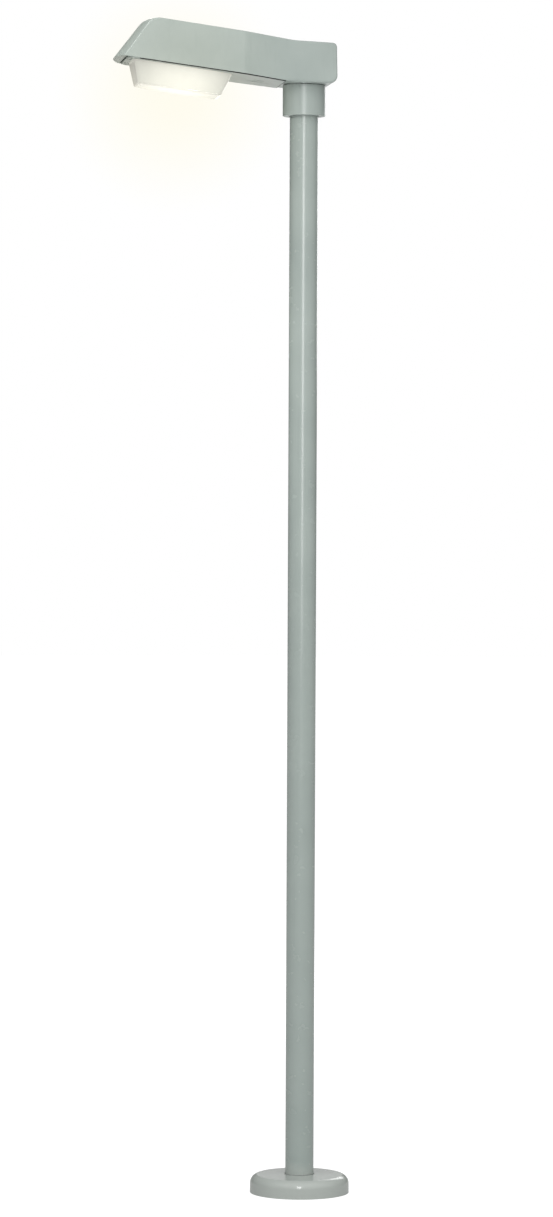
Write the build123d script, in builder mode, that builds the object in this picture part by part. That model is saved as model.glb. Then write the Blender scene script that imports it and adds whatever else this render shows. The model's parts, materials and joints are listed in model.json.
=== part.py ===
"""Street lamp post with a box-shaped head: a steel column on a bolted base plate under a
round foot cover, an inspection door low in the column, and a cast aluminium lamp head whose
lens frame swings down from its nose.

Millimetres, +Z up. The origin is the centre of the base plate's underside. The head points
along -X and the inspection door faces +Y.
"""
import os
from math import asin, atan2, cos, degrees, hypot, radians, sin, tan

from build123d import *

os.makedirs("parts", exist_ok=True)

# --- column and base plate ---------------------------------------------------------------
POLE_R = 57.15                   # standard 114.3 mm steel tube
POLE_WALL = 4
POLE_BORE_R = POLE_R - POLE_WALL
POLE_TOP = 4457
DOOR_TUBE_TOP = 1000             # the tube with the door is butt-welded to the long shaft here
PLATE_R = 170
PLATE_T = 20
ANCHOR_COUNT = 4
ANCHOR_CIRCLE_R = 140
ANCHOR_HOLE_R = 12               # for M20 foundation studs
ANCHOR_THREAD_R = 10
WASHER_R = 18.5
WASHER_BORE_R = 10.5
WASHER_T = 3
NUT_ACROSS_FLATS = 30
NUT_T = 16
GUSSET_T = 8
GUSSET_REACH = 52                # from the tube's face outwards
GUSSET_H = 38

# --- foot cover --------------------------------------------------------------------------
COVER_R = 200
COVER_H = 75
COVER_WALL_H = 37                # height of the upright rim, before the shoulder
COVER_FLAT_R = 174
COVER_FALL = 3                   # how far the top falls from the column to the shoulder
COVER_SKIN = 4
SEAL_GAP = 0.1
SEAL_W = 4
SEAL_H = 7
SEAL_PROUD = 1

# --- inspection door ---------------------------------------------------------------------
DOOR_Z = 760
DOOR_W = 80
DOOR_H = 360
DOOR_CORNER = 20
DOOR_GAP = 2
DOOR_SKIN = 3
DOOR_REST_GAP = 0.3              # between the door's gasket and the frame behind it
FRAME_LAP = 8                    # the frame's grip behind the tube, all round
FRAME_LIP = 6                    # the frame's ledge behind the door, all round
FRAME_T = 4
HINGE_OFF = 6.85                 # hinge axis outside the tube's face
HINGE_ANGLE = 47                 # from +Y towards +X
HINGE_SPREAD = 120               # each hinge above and below the door's middle
KNUCKLE_R = 6
HINGE_PIN_R = 2.5
HINGE_FIT = 0.08
DOOR_KNUCKLE_H = 20
POLE_KNUCKLE_H = 14
KNUCKLE_GAP = 0.3
STRAP_T = 2.5
LOCK_BARREL_R = 10
LOCK_SPINDLE_R = 5
LOCK_BAR_BACK = 26.5             # distance of the bar's back from the column's axis
LOCK_BAR_T = 4.5
LOCK_BAR_W = 14
LOCK_BAR_L = 76

# --- fuse box in the column --------------------------------------------------------------
BOX_W = 60
BOX_BACK = -24
BOX_FRONT = 16
BOX_H = 200
BOX_WALL = 3
BOX_LID_T = 3
BRACKET_T = 3
GLAND_R = 9
GLAND_H = 16
CABLE_R = 4
FUSE_R = 8
FUSE_L = 60

# --- collar that carries the head --------------------------------------------------------
COLLAR_R = POLE_R + 28.85
COLLAR_BOTTOM = POLE_TOP - 110
SOCKET_FIT = 0.08
COLLAR_REST_GAP = 0.1
MOUTH_R = POLE_R + 3.35
MOUTH_H = 10
COLLAR_CABLE_R = 35
COLLAR_GASKET_T = 2
COLLAR_BOLT_CIRCLE_R = 66
COLLAR_BOLT_R = 4
SET_SCREW_R = 5
SET_SCREW_TIP_GAP = 0.2
SET_SCREW_RECESS = 2
SET_SCREW_ANGLES = (45, 135)
SET_SCREW_HEIGHTS = (COLLAR_BOTTOM + 33, COLLAR_BOTTOM + 78)

# --- canopy: the upper housing of the head -----------------------------------------------
FLOOR_Z = POLE_TOP + 15          # underside of the head over the collar
FLOOR_T = 8
BEND_X = -60                     # here the level rear part meets the rising front part
TILT = 7.7                       # degrees that the front part rises towards the nose
NOSE_X = -771
NOSE_BOW = 33                    # how far the nose bulges ahead of its corners
NOSE_HALF = 156                  # half widths along the lower rim
BROAD_X = -254
BROAD_HALF = 180
REAR_X = 121
REAR_HALF = 109
SIDE_DRAFT = 8
CANOPY_WALL = 3.5
APEX_X = NOSE_X + 123
APEX_Z = FLOOR_Z + 254
BEND_TOP_Z = FLOOR_Z + 169
REAR_TOP_Z = FLOOR_Z + 164
APEX_ROUND = 56
BEND_ROUND = 400
REAR_TOP_ROUND = 18
REAR_LOW_ROUND = 32
BROAD_ROUND = 90
EDGE_ROUND = 8
FLOOR_FRONT_X = -92

# --- lens frame under the canopy ---------------------------------------------------------
FRAME_FRONT_X = NOSE_X + 43
FRAME_REAR_GAP = 3.7
FRAME_SIDE_GAP = 3.5
FRAME_DROP = 4                   # how far the frame shows below the canopy's rim
FRAME_PLATE_T = 8
FRAME_FRONT_ROUND = 24
FRAME_REAR_ROUND = 10
PIVOT_X = FRAME_FRONT_X + 10
PIVOT_UP = 6.5
PIVOT_R = 5.5
PIVOT_PIN_R = 2.5
PIVOT_V = 92                     # each hinge is this far from the middle
PIVOT_KNUCKLE_W = 30
LUG_T = 8
GASKET_W = 2.7                   # fills most of the gap round the frame, and shows below the rim
GASKET_T = 6.5
LIP_REAR_X = FRAME_FRONT_X - 5.5  # the canopy's nose is closed below from its tip to here

# --- lens --------------------------------------------------------------------------------
LENS_FRONT_X = FRAME_FRONT_X + 26
LENS_REAR_X = -302
LENS_HALF = 122
LENS_DEPTH = 94
LENS_FRONT_DRAFT = 34
LENS_REAR_DRAFT = 33
LENS_SIDE_DRAFT = 24
LENS_WALL = 3
LENS_CORNER = 22
LENS_LOW_ROUND = 11
LENS_FLANGE = 9
LENS_GAP = 1
LENS_GASKET_T = 1.5
CLIP_T = 1.5
CLIP_W = 16
CLIP_L = 24

# --- quarter-turn catch ------------------------------------------------------------------
CATCH_X = -187
CATCH_R = 45
CATCH_T = 4
CATCH_POCKET_DEPTH = 5
CATCH_GAP = 1.5
CATCH_SHAFT_R = 7
CATCH_FIT = 0.08
CATCH_BAR_W = 20
CATCH_BAR_T = 5
CATCH_BAR_GRIP = 12              # how far the bar reaches over the canopy's floor
CATCH_BAR_LIFT = 3

# --- lamp and gear -----------------------------------------------------------------------
LAMP_UP = 54
LAMP_R = 35
LAMP_L = 130
LAMP_CAP_R = 13
LAMP_CAP_L = 26
HOLDER_X = -296
HOLDER_R = 22
HOLDER_L = 46
TRAY_UP = 120
TRAY_T = 2
TRAY_FRONT_X = -302
TRAY_REAR_X = -112
TRAY_HALF = 78
REFLECTOR_UP = 14
REFLECTOR_H = 84
REFLECTOR_T = 1.2

LEAN = tan(radians(TILT))
LEAN_COS = cos(radians(TILT))
LEAN_SIN = sin(radians(TILT))
DRAFT = tan(radians(SIDE_DRAFT))
FLOOR_TOP = FLOOR_Z + FLOOR_T
SOCKET_TOP = POLE_TOP + COLLAR_REST_GAP

# The lower rim of the canopy's front part lies in this plane: its origin is at the bend,
# its x axis runs down along the rim towards the column, and its z axis points out of the rim
# into the canopy.
RIM = Plane(origin=(BEND_X, 0, FLOOR_Z), x_dir=(LEAN_COS, 0, -LEAN_SIN), z_dir=(LEAN_SIN, 0, LEAN_COS))


def along(x):
    """Place on the rim plane's x axis of the rim point that has this x."""
    return (x - BEND_X) / LEAN_COS


def rim_z(x):
    """Height of the canopy's lower rim at this x."""
    return FLOOR_Z + max(0, BEND_X - x) * LEAN


def half_width(x):
    """Half width of the canopy at its lower rim at this x."""
    corner_x = NOSE_X + NOSE_BOW
    if x < BROAD_X:
        share = (x - corner_x) / (BROAD_X - corner_x)
        return NOSE_HALF + share * (BROAD_HALF - NOSE_HALF)
    share = (x - BROAD_X) / (REAR_X - BROAD_X)
    return BROAD_HALF + share * (REAR_HALF - BROAD_HALF)


def save(part, name):
    """Label a finished piece and write its STEP file."""
    part.label = name
    export_step(part, f"parts/{name}.step")


def door_side(width, height, corner):
    """A rounded prism through the +Y side of the column, at the door's height."""
    with BuildPart() as prism:
        with BuildSketch(Plane.XZ):
            with Locations((0, DOOR_Z)):
                RectangleRounded(width, height, corner)
        extrude(amount=-POLE_R - 20)
    return prism.part


def tube_sector(inner_r, outer_r, start, end, bottom, height):
    """Part of a tube about the column's axis, between two angles from +Y towards +X."""
    with BuildPart() as sector:
        with BuildSketch(Plane.XY.offset(bottom)):
            Circle(outer_r)
            Circle(inner_r, mode=Mode.SUBTRACT)
            with BuildLine():
                far = 3 * outer_r
                Polyline(
                    (0, 0),
                    (far * sin(radians(start)), far * cos(radians(start))),
                    (far * sin(radians(end)), far * cos(radians(end))),
                    close=True,
                )
            make_face(mode=Mode.INTERSECT)
        extrude(amount=height)
    return sector.part


# --- base plate, gussets and anchor fasteners --------------------------------------------
with BuildPart() as base_plate:
    with BuildSketch():
        Circle(PLATE_R)
        Circle(POLE_BORE_R, mode=Mode.SUBTRACT)
        with PolarLocations(ANCHOR_CIRCLE_R, ANCHOR_COUNT, start_angle=45):
            Circle(ANCHOR_HOLE_R, mode=Mode.SUBTRACT)
    extrude(amount=PLATE_T)
    chamfer(base_plate.faces().sort_by(Axis.Z)[-1].outer_wire().edges(), 3)
save(base_plate.part, "base_plate")

with BuildPart() as base_gussets:
    with BuildSketch(Plane.XZ):
        with BuildLine():
            Polyline(
                (POLE_BORE_R, PLATE_T),
                (POLE_R + GUSSET_REACH, PLATE_T),
                (POLE_R + GUSSET_REACH, PLATE_T + 8),
                (POLE_R + 10, PLATE_T + GUSSET_H),
                (POLE_BORE_R, PLATE_T + GUSSET_H),
                close=True,
            )
        make_face()
    extrude(amount=GUSSET_T / 2, both=True)
    with Locations((0, 0, PLATE_T)):
        Cylinder(POLE_R, GUSSET_H, align=(Align.CENTER, Align.CENTER, Align.MIN), mode=Mode.SUBTRACT)
    gusset = base_gussets.part
    with PolarLocations(0, 3, start_angle=90, angular_range=180, endpoint=True):
        add(gusset)
save(base_gussets.part, "base_gussets")

with BuildPart() as anchor_washers:
    with BuildSketch(Plane.XY.offset(PLATE_T)):
        with PolarLocations(ANCHOR_CIRCLE_R, ANCHOR_COUNT, start_angle=45):
            Circle(WASHER_R)
            Circle(WASHER_BORE_R, mode=Mode.SUBTRACT)
    extrude(amount=WASHER_T)
save(anchor_washers.part, "anchor_washers")

with BuildPart() as anchor_nuts:
    with BuildSketch(Plane.XY.offset(PLATE_T + WASHER_T)):
        with PolarLocations(ANCHOR_CIRCLE_R, ANCHOR_COUNT, start_angle=45):
            RegularPolygon(NUT_ACROSS_FLATS / 2, 6, major_radius=False)
            Circle(ANCHOR_THREAD_R, mode=Mode.SUBTRACT)
    extrude(amount=NUT_T)
save(anchor_nuts.part, "anchor_nuts")

# --- column --------------------------------------------------------------------------------
with BuildPart() as pole_door_tube:
    with BuildSketch(Plane.XY.offset(PLATE_T)):
        Circle(POLE_R)
        Circle(POLE_BORE_R, mode=Mode.SUBTRACT)
    extrude(amount=DOOR_TUBE_TOP - PLATE_T)
    add(door_side(DOOR_W, DOOR_H, DOOR_CORNER), mode=Mode.SUBTRACT)
save(pole_door_tube.part, "pole_door_tube")

with BuildPart() as pole_shaft:
    with BuildSketch(Plane.XY.offset(DOOR_TUBE_TOP)):
        Circle(POLE_R)
        Circle(POLE_BORE_R, mode=Mode.SUBTRACT)
    extrude(amount=POLE_TOP - DOOR_TUBE_TOP)
save(pole_shaft.part, "pole_shaft")

# --- foot cover and its seal -----------------------------------------------------------------
SEAL_BORE_R = POLE_R + SEAL_GAP
COVER_BORE_R = SEAL_BORE_R + SEAL_W


def cover_outline(drop, skin):
    """Half section of the foot cover: upright rim, rounded shoulder, slightly sloping top."""
    rim_r = COVER_R - skin
    shoulder = (COVER_FLAT_R, COVER_H - COVER_FALL - skin)
    with BuildLine() as outline:
        Polyline((0, drop), (rim_r, drop), (rim_r, COVER_WALL_H))
        TangentArc((rim_r, COVER_WALL_H), shoulder, tangent=(0, 1))
        Polyline(shoulder, (COVER_BORE_R, COVER_H - skin), (0, COVER_H - skin), (0, drop))
    return outline.line


with BuildPart() as base_cover:
    with BuildSketch(Plane.XZ):
        with BuildLine():
            add(cover_outline(0, 0))
        make_face()
    revolve(axis=Axis.Z)
    with BuildSketch(Plane.XZ):
        with BuildLine():
            add(cover_outline(-1, COVER_SKIN))
        make_face()
    revolve(axis=Axis.Z, mode=Mode.SUBTRACT)
    with Locations((0, 0, COVER_H)):
        Cylinder(COVER_BORE_R, 4 * COVER_SKIN, mode=Mode.SUBTRACT)
save(base_cover.part, "base_cover")

with BuildPart() as cover_seal:
    with BuildSketch(Plane.XY.offset(COVER_H + SEAL_PROUD - SEAL_H)):
        Circle(COVER_BORE_R)
        Circle(SEAL_BORE_R, mode=Mode.SUBTRACT)
    extrude(amount=SEAL_H)
save(cover_seal.part, "cover_seal")

# --- inspection door ---------------------------------------------------------------------
LEAF_R = POLE_R - DOOR_SKIN
LEAF_W = DOOR_W - 2 * DOOR_GAP
LEAF_H = DOOR_H - 2 * DOOR_GAP
LEDGE_W = DOOR_W - 2 * FRAME_LIP
LEDGE_H = DOOR_H - 2 * FRAME_LIP
HINGE_R = POLE_R + HINGE_OFF
HINGE_X = HINGE_R * sin(radians(HINGE_ANGLE))
HINGE_Y = HINGE_R * cos(radians(HINGE_ANGLE))
LEAF_EDGE_ANGLE = degrees(asin(LEAF_W / 2 / POLE_R))
HINGE_HEIGHTS = (DOOR_Z - HINGE_SPREAD, DOOR_Z + HINGE_SPREAD)


def door_ring(inner_r, outer_r, width, height, corner):
    """A curved panel that follows the column, with rounded corners."""
    with BuildPart() as panel:
        with BuildSketch(Plane.XY.offset(DOOR_Z - height)):
            Circle(outer_r)
            Circle(inner_r, mode=Mode.SUBTRACT)
        extrude(amount=2 * height)
        add(door_side(width, height, corner), mode=Mode.INTERSECT)
    return panel.part


with BuildPart() as door_frame:
    add(door_ring(POLE_BORE_R - FRAME_T, POLE_BORE_R, DOOR_W + 2 * FRAME_LAP,
                  DOOR_H + 2 * FRAME_LAP, DOOR_CORNER + FRAME_LAP))
    add(door_side(LEDGE_W, LEDGE_H, DOOR_CORNER - FRAME_LIP), mode=Mode.SUBTRACT)
save(door_frame.part, "door_frame")

with BuildPart() as door_leaf:
    add(door_ring(LEAF_R, POLE_R, LEAF_W, LEAF_H, DOOR_CORNER - DOOR_GAP))
    with Locations(Location((0, POLE_R, DOOR_Z), (90, 0, 0))):
        Cylinder(LOCK_BARREL_R, 6 * DOOR_SKIN, mode=Mode.SUBTRACT)
save(door_leaf.part, "door_leaf")

with BuildPart() as door_gasket:
    add(door_ring(POLE_BORE_R + DOOR_REST_GAP, LEAF_R, LEAF_W, LEAF_H, DOOR_CORNER - DOOR_GAP))
    add(door_side(LEDGE_W, LEDGE_H, DOOR_CORNER - FRAME_LIP), mode=Mode.SUBTRACT)
save(door_gasket.part, "door_gasket")

with BuildPart() as door_knuckles:
    for height in HINGE_HEIGHTS:
        low = height - DOOR_KNUCKLE_H / 2
        add(tube_sector(POLE_R, POLE_R + STRAP_T, 22, LEAF_EDGE_ANGLE, low, DOOR_KNUCKLE_H))
        add(tube_sector(POLE_R + KNUCKLE_GAP, POLE_R + STRAP_T, 32, HINGE_ANGLE, low, DOOR_KNUCKLE_H))
        with Locations((HINGE_X, HINGE_Y, height)):
            Cylinder(KNUCKLE_R, DOOR_KNUCKLE_H)
            Cylinder(HINGE_PIN_R + HINGE_FIT, DOOR_KNUCKLE_H, mode=Mode.SUBTRACT)
save(door_knuckles.part, "door_knuckles")

POLE_KNUCKLE_OFF = DOOR_KNUCKLE_H / 2 + KNUCKLE_GAP + POLE_KNUCKLE_H / 2
with BuildPart() as pole_knuckles:
    for height in HINGE_HEIGHTS:
        for middle in (height - POLE_KNUCKLE_OFF, height + POLE_KNUCKLE_OFF):
            low = middle - POLE_KNUCKLE_H / 2
            add(tube_sector(POLE_R, POLE_R + STRAP_T, HINGE_ANGLE, 66, low, POLE_KNUCKLE_H))
            with Locations((HINGE_X, HINGE_Y, middle)):
                Cylinder(KNUCKLE_R, POLE_KNUCKLE_H)
                Cylinder(HINGE_PIN_R, POLE_KNUCKLE_H, mode=Mode.SUBTRACT)
save(pole_knuckles.part, "pole_knuckles")

HINGE_PIN_L = 2 * (POLE_KNUCKLE_OFF + POLE_KNUCKLE_H / 2)
with BuildPart() as door_hinge_pins:
    for height in HINGE_HEIGHTS:
        with Locations((HINGE_X, HINGE_Y, height)):
            Cylinder(HINGE_PIN_R, HINGE_PIN_L)
        with Locations((HINGE_X, HINGE_Y, height + HINGE_PIN_L / 2)):
            Cylinder(HINGE_PIN_R + 2, 2, align=(Align.CENTER, Align.CENTER, Align.MIN))
save(door_hinge_pins.part, "door_hinge_pins")

# --- door lock -----------------------------------------------------------------------------
LOCK_BAR_FRONT = LOCK_BAR_BACK + LOCK_BAR_T
BARREL_BACK = 44
BARREL_FRONT = POLE_R + 0.8
KEY_RECESS = 5
KEY_RECESS_R = 7.5


def lock_rod(radius, back, front):
    """A round rod along +Y on the lock's axis."""
    with BuildPart() as rod:
        with BuildSketch(Plane.XZ.offset(-back)):
            with Locations((0, DOOR_Z)):
                Circle(radius)
        extrude(amount=back - front)
    return rod.part


with BuildPart() as door_lock_barrel:
    add(lock_rod(LOCK_BARREL_R, BARREL_BACK, BARREL_FRONT))
    add(lock_rod(LOCK_SPINDLE_R + HINGE_FIT, BARREL_BACK - 1, BARREL_FRONT), mode=Mode.SUBTRACT)
    add(lock_rod(KEY_RECESS_R, BARREL_FRONT - KEY_RECESS, BARREL_FRONT + 1), mode=Mode.SUBTRACT)
save(door_lock_barrel.part, "door_lock_barrel")

with BuildPart() as door_lock_spindle:
    add(lock_rod(LOCK_SPINDLE_R, LOCK_BAR_BACK, BARREL_FRONT - KEY_RECESS))
    with BuildSketch(Plane.XZ.offset(KEY_RECESS - BARREL_FRONT)):
        with Locations((0, DOOR_Z)):
            RegularPolygon(LOCK_SPINDLE_R - 0.5, 3)
    extrude(amount=1 - KEY_RECESS)
save(door_lock_spindle.part, "door_lock_spindle")

with BuildPart() as door_lock_bar:
    with BuildSketch(Plane.XZ.offset(-LOCK_BAR_BACK)):
        with Locations((0, DOOR_Z)):
            RectangleRounded(LOCK_BAR_W, LOCK_BAR_L, 4)
            Circle(LOCK_SPINDLE_R, mode=Mode.SUBTRACT)
    extrude(amount=-LOCK_BAR_T)
save(door_lock_bar.part, "door_lock_bar")

# --- fuse box, its bracket, glands and cable ---------------------------------------------
BOX_DEPTH = BOX_FRONT - BOX_BACK
BOX_Y = (BOX_FRONT + BOX_BACK) / 2
BOX_BOTTOM = DOOR_Z - BOX_H / 2
BOX_TOP = DOOR_Z + BOX_H / 2
INLET_SPREAD = 15

with BuildPart() as fuse_box_bracket:
    with Locations((0, BOX_BACK - BRACKET_T / 2, DOOR_Z)):
        Box(2 * POLE_BORE_R, BRACKET_T, BOX_H + 40)
    with Locations((0, 0, DOOR_Z)):
        Cylinder(POLE_BORE_R, BOX_H + 40, mode=Mode.INTERSECT)
save(fuse_box_bracket.part, "fuse_box_bracket")

with BuildPart() as fuse_box:
    with Locations((0, BOX_Y, DOOR_Z)):
        Box(BOX_W, BOX_DEPTH, BOX_H)
    fillet(fuse_box.edges().filter_by(Axis.Y), 5)
    with Locations((0, BOX_Y + BOX_WALL, DOOR_Z)):
        Box(BOX_W - 2 * BOX_WALL, BOX_DEPTH, BOX_H - 2 * BOX_WALL, mode=Mode.SUBTRACT)
save(fuse_box.part, "fuse_box")

with BuildPart() as fuse_box_lid:
    with Locations((0, BOX_FRONT + BOX_LID_T / 2, DOOR_Z)):
        Box(BOX_W, BOX_LID_T, BOX_H)
    fillet(fuse_box_lid.edges().filter_by(Axis.Y), 5)
save(fuse_box_lid.part, "fuse_box_lid")

with BuildPart() as fuse_carriers:
    with Locations((-INLET_SPREAD, BOX_BACK + BOX_WALL + FUSE_R, DOOR_Z + 20),
                   (INLET_SPREAD, BOX_BACK + BOX_WALL + FUSE_R, DOOR_Z + 20)):
        Cylinder(FUSE_R, FUSE_L)
save(fuse_carriers.part, "fuse_carriers")

with BuildPart() as cable_glands:
    with Locations((0, 0, BOX_TOP)):
        Cylinder(GLAND_R, GLAND_H, align=(Align.CENTER, Align.CENTER, Align.MIN))
        Cylinder(CABLE_R, GLAND_H, align=(Align.CENTER, Align.CENTER, Align.MIN), mode=Mode.SUBTRACT)
    with Locations((-INLET_SPREAD, 0, BOX_BOTTOM), (INLET_SPREAD, 0, BOX_BOTTOM)):
        Cylinder(GLAND_R, GLAND_H, align=(Align.CENTER, Align.CENTER, Align.MAX))
        Cylinder(CABLE_R, GLAND_H, align=(Align.CENTER, Align.CENTER, Align.MAX), mode=Mode.SUBTRACT)
save(cable_glands.part, "cable_glands")

CABLE_PARTING = POLE_TOP - 15
with BuildPart() as pole_cable:
    with BuildSketch(Plane.XY.offset(BOX_TOP)):
        Circle(CABLE_R)
    extrude(amount=CABLE_PARTING - BOX_TOP)
save(pole_cable.part, "pole_cable")

EARTH_Z = DOOR_Z - BOX_H / 2 - 45
with BuildPart() as earth_stud:
    with BuildSketch(Plane.XZ.offset(POLE_R - 18)):
        with Locations((0, EARTH_Z)):
            Circle(4)
    extrude(amount=18)
    with Locations((0, 0, EARTH_Z)):
        Cylinder(POLE_BORE_R, 20, mode=Mode.INTERSECT)
save(earth_stud.part, "earth_stud")

with BuildPart() as earth_nuts:
    with BuildSketch(Plane.XZ.offset(POLE_R - 15)):
        with Locations((0, EARTH_Z)):
            RegularPolygon(6.5, 6, major_radius=False)
            Circle(4, mode=Mode.SUBTRACT)
    extrude(amount=6.5)
save(earth_nuts.part, "earth_nuts")

# --- collar --------------------------------------------------------------------------------
COLLAR_TOP = FLOOR_Z - COLLAR_GASKET_T
SET_SCREW_PLACES = [(height, angle) for height in SET_SCREW_HEIGHTS for angle in SET_SCREW_ANGLES]


def radial_rod(radius, height, angle, inner, outer):
    """A round rod that points out from the column's axis, between two distances from it."""
    outwards = (cos(radians(angle)), sin(radians(angle)), 0)
    with BuildPart() as rod:
        with BuildSketch(Plane(origin=(0, 0, height), x_dir=(0, 0, 1), z_dir=outwards).offset(inner)):
            Circle(radius)
        extrude(amount=outer - inner)
    return rod.part


with BuildPart() as collar:
    with BuildSketch(Plane.XY.offset(COLLAR_BOTTOM)):
        Circle(COLLAR_R)
        Circle(POLE_R + SOCKET_FIT, mode=Mode.SUBTRACT)
    extrude(amount=SOCKET_TOP - COLLAR_BOTTOM)
    with BuildSketch(Plane.XY.offset(SOCKET_TOP)):
        Circle(COLLAR_R)
        Circle(COLLAR_CABLE_R, mode=Mode.SUBTRACT)
        with PolarLocations(COLLAR_BOLT_CIRCLE_R, 4, start_angle=45):
            Circle(COLLAR_BOLT_R, mode=Mode.SUBTRACT)
    extrude(amount=COLLAR_TOP - SOCKET_TOP)
    with BuildSketch(Plane.XY.offset(COLLAR_BOTTOM)):
        Circle(MOUTH_R)
    extrude(amount=MOUTH_H, mode=Mode.SUBTRACT)
    for height, angle in SET_SCREW_PLACES:
        add(radial_rod(SET_SCREW_R, height, angle, 0, COLLAR_R + 5), mode=Mode.SUBTRACT)
    fillet(collar.faces().sort_by(Axis.Z)[0].outer_wire().edges(), 1.5)
save(collar.part, "collar")

SCREW_TIP = POLE_R + SET_SCREW_TIP_GAP
SCREW_END = COLLAR_R - SET_SCREW_RECESS
with BuildPart() as collar_set_screws:
    for height, angle in SET_SCREW_PLACES:
        add(radial_rod(SET_SCREW_R, height, angle, SCREW_TIP + 2, SCREW_END))
        add(radial_rod(SET_SCREW_R - 2, height, angle, SCREW_TIP, SCREW_TIP + 2))
        add(radial_rod(SET_SCREW_R / 2, height, angle, SCREW_END - 5, SCREW_END), mode=Mode.SUBTRACT)
save(collar_set_screws.part, "collar_set_screws")

with BuildPart() as collar_gasket:
    with BuildSketch(Plane.XY.offset(COLLAR_TOP)):
        Circle(COLLAR_R - 2)
        Circle(COLLAR_CABLE_R, mode=Mode.SUBTRACT)
        with PolarLocations(COLLAR_BOLT_CIRCLE_R, 4, start_angle=45):
            Circle(COLLAR_BOLT_R + 0.5, mode=Mode.SUBTRACT)
    extrude(amount=COLLAR_GASKET_T)
save(collar_gasket.part, "collar_gasket")

with BuildPart() as collar_bolts:
    with BuildSketch(Plane.XY.offset(SOCKET_TOP)):
        with PolarLocations(COLLAR_BOLT_CIRCLE_R, 4, start_angle=45):
            Circle(COLLAR_BOLT_R)
    extrude(amount=FLOOR_TOP - SOCKET_TOP)
    with BuildSketch(Plane.XY.offset(FLOOR_TOP)):
        with PolarLocations(COLLAR_BOLT_CIRCLE_R, 4, start_angle=45):
            RegularPolygon(6.5, 6, major_radius=False)
    extrude(amount=5.5)
save(collar_bolts.part, "collar_bolts")

# --- canopy --------------------------------------------------------------------------------
NOSE_Z = rim_z(NOSE_X)
NOSE_ANGLE = atan2(APEX_Z - NOSE_Z, APEX_X - NOSE_X)
NOSE_SLOPE = (cos(NOSE_ANGLE), 0, sin(NOSE_ANGLE))
BLOCK_H = APEX_Z - FLOOR_Z + 20
AHEAD_X = NOSE_X - 120           # the head's form is drawn longer, and the nose cuts it


def plan_outline(inset):
    """Plan of the head at floor height; the sides' draft has brought it in by the rim."""
    corner_x = NOSE_X + NOSE_BOW
    corner_half = NOSE_HALF + (rim_z(corner_x) - FLOOR_Z) * DRAFT - inset
    broad_half = BROAD_HALF + (rim_z(BROAD_X) - FLOOR_Z) * DRAFT - inset
    rear_half = REAR_HALF - inset
    ahead_half = corner_half + (broad_half - corner_half) * (AHEAD_X - corner_x) / (BROAD_X - corner_x)
    back_x = REAR_X + 60
    back_half = rear_half + (broad_half - rear_half) * (back_x - REAR_X) / (BROAD_X - REAR_X)
    with BuildSketch() as plan:
        with BuildLine():
            Polyline(
                (AHEAD_X, -ahead_half),
                (BROAD_X, -broad_half),
                (back_x, -back_half),
                (back_x, back_half),
                (BROAD_X, broad_half),
                (AHEAD_X, ahead_half),
                close=True,
            )
        make_face()
        fillet(plan.vertices().sort_by(lambda v: abs(v.X - BROAD_X))[:2], BROAD_ROUND)
    return plan.sketch_local


def side_outline(inset, low_points):
    """Side view of the head, run on ahead of the nose, over the given lower points."""
    top_slope = (BEND_TOP_Z - APEX_Z) / (BEND_X - APEX_X)
    rear_x = REAR_X - inset
    rear_low = low_points[-1][1]
    rounded = (
        (BEND_X, BEND_TOP_Z - inset, BEND_ROUND),
        (rear_x, REAR_TOP_Z - inset, REAR_TOP_ROUND - inset),
        (rear_x, rear_low, REAR_LOW_ROUND - inset - (rear_low - FLOOR_Z) / 2),
    )
    with BuildSketch() as side:
        with BuildLine():
            Polyline(
                *low_points,
                (rear_x, REAR_TOP_Z - inset),
                (BEND_X, BEND_TOP_Z - inset),
                (AHEAD_X, APEX_Z - inset + (AHEAD_X - APEX_X) * top_slope),
                close=True,
            )
        make_face()
        for x, z, radius in rounded:
            fillet(side.vertices().sort_by(lambda v: hypot(v.X - x, v.Y - z))[0], radius)
    return side.sketch_local


def is_upper_edge(edge):
    """True for the edges that run round the top, the nose and the rear of the head's sides."""
    middle = edge @ 0.5
    size = edge.bounding_box().size
    upright = size.X < 20 and size.Z > 150
    low = middle.Z < rim_z(middle.X) + FLOOR_T + 1
    return abs(middle.Y) > REAR_HALF / 2 and not upright and not low


def head_block(inset, low_points):
    """Solid form of the head: drafted plan, side profile and sloping nose, bowed in plan."""
    shift = (inset - (NOSE_Z - FLOOR_Z) * cos(NOSE_ANGLE)) / sin(NOSE_ANGLE)
    corner_x = NOSE_X + NOSE_BOW + shift
    far_x = NOSE_X - 400
    wide = 2 * NOSE_HALF
    with BuildPart() as block:
        with BuildSketch(Plane.XY.offset(FLOOR_Z)):
            add(plan_outline(inset))
        extrude(amount=BLOCK_H, taper=SIDE_DRAFT)
        with BuildSketch(Plane.XZ.offset(-2 * BROAD_HALF)):
            add(side_outline(inset, low_points))
        extrude(amount=4 * BROAD_HALF, mode=Mode.INTERSECT)
        with BuildSketch(Plane.XY.offset(FLOOR_Z)):
            with BuildLine():
                ThreePointArc((corner_x, -NOSE_HALF), (corner_x - NOSE_BOW, 0), (corner_x, NOSE_HALF))
                Polyline(
                    (corner_x, NOSE_HALF),
                    (corner_x + 2 * NOSE_BOW, wide),
                    (far_x, wide),
                    (far_x, -wide),
                    (corner_x + 2 * NOSE_BOW, -wide),
                    (corner_x, -NOSE_HALF),
                )
            make_face()
        extrude(amount=2 * BLOCK_H, dir=NOSE_SLOPE, mode=Mode.SUBTRACT)
        fillet(block.edges().sort_by(Axis.Z)[-1], APEX_ROUND - inset)
    return block.part


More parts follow.
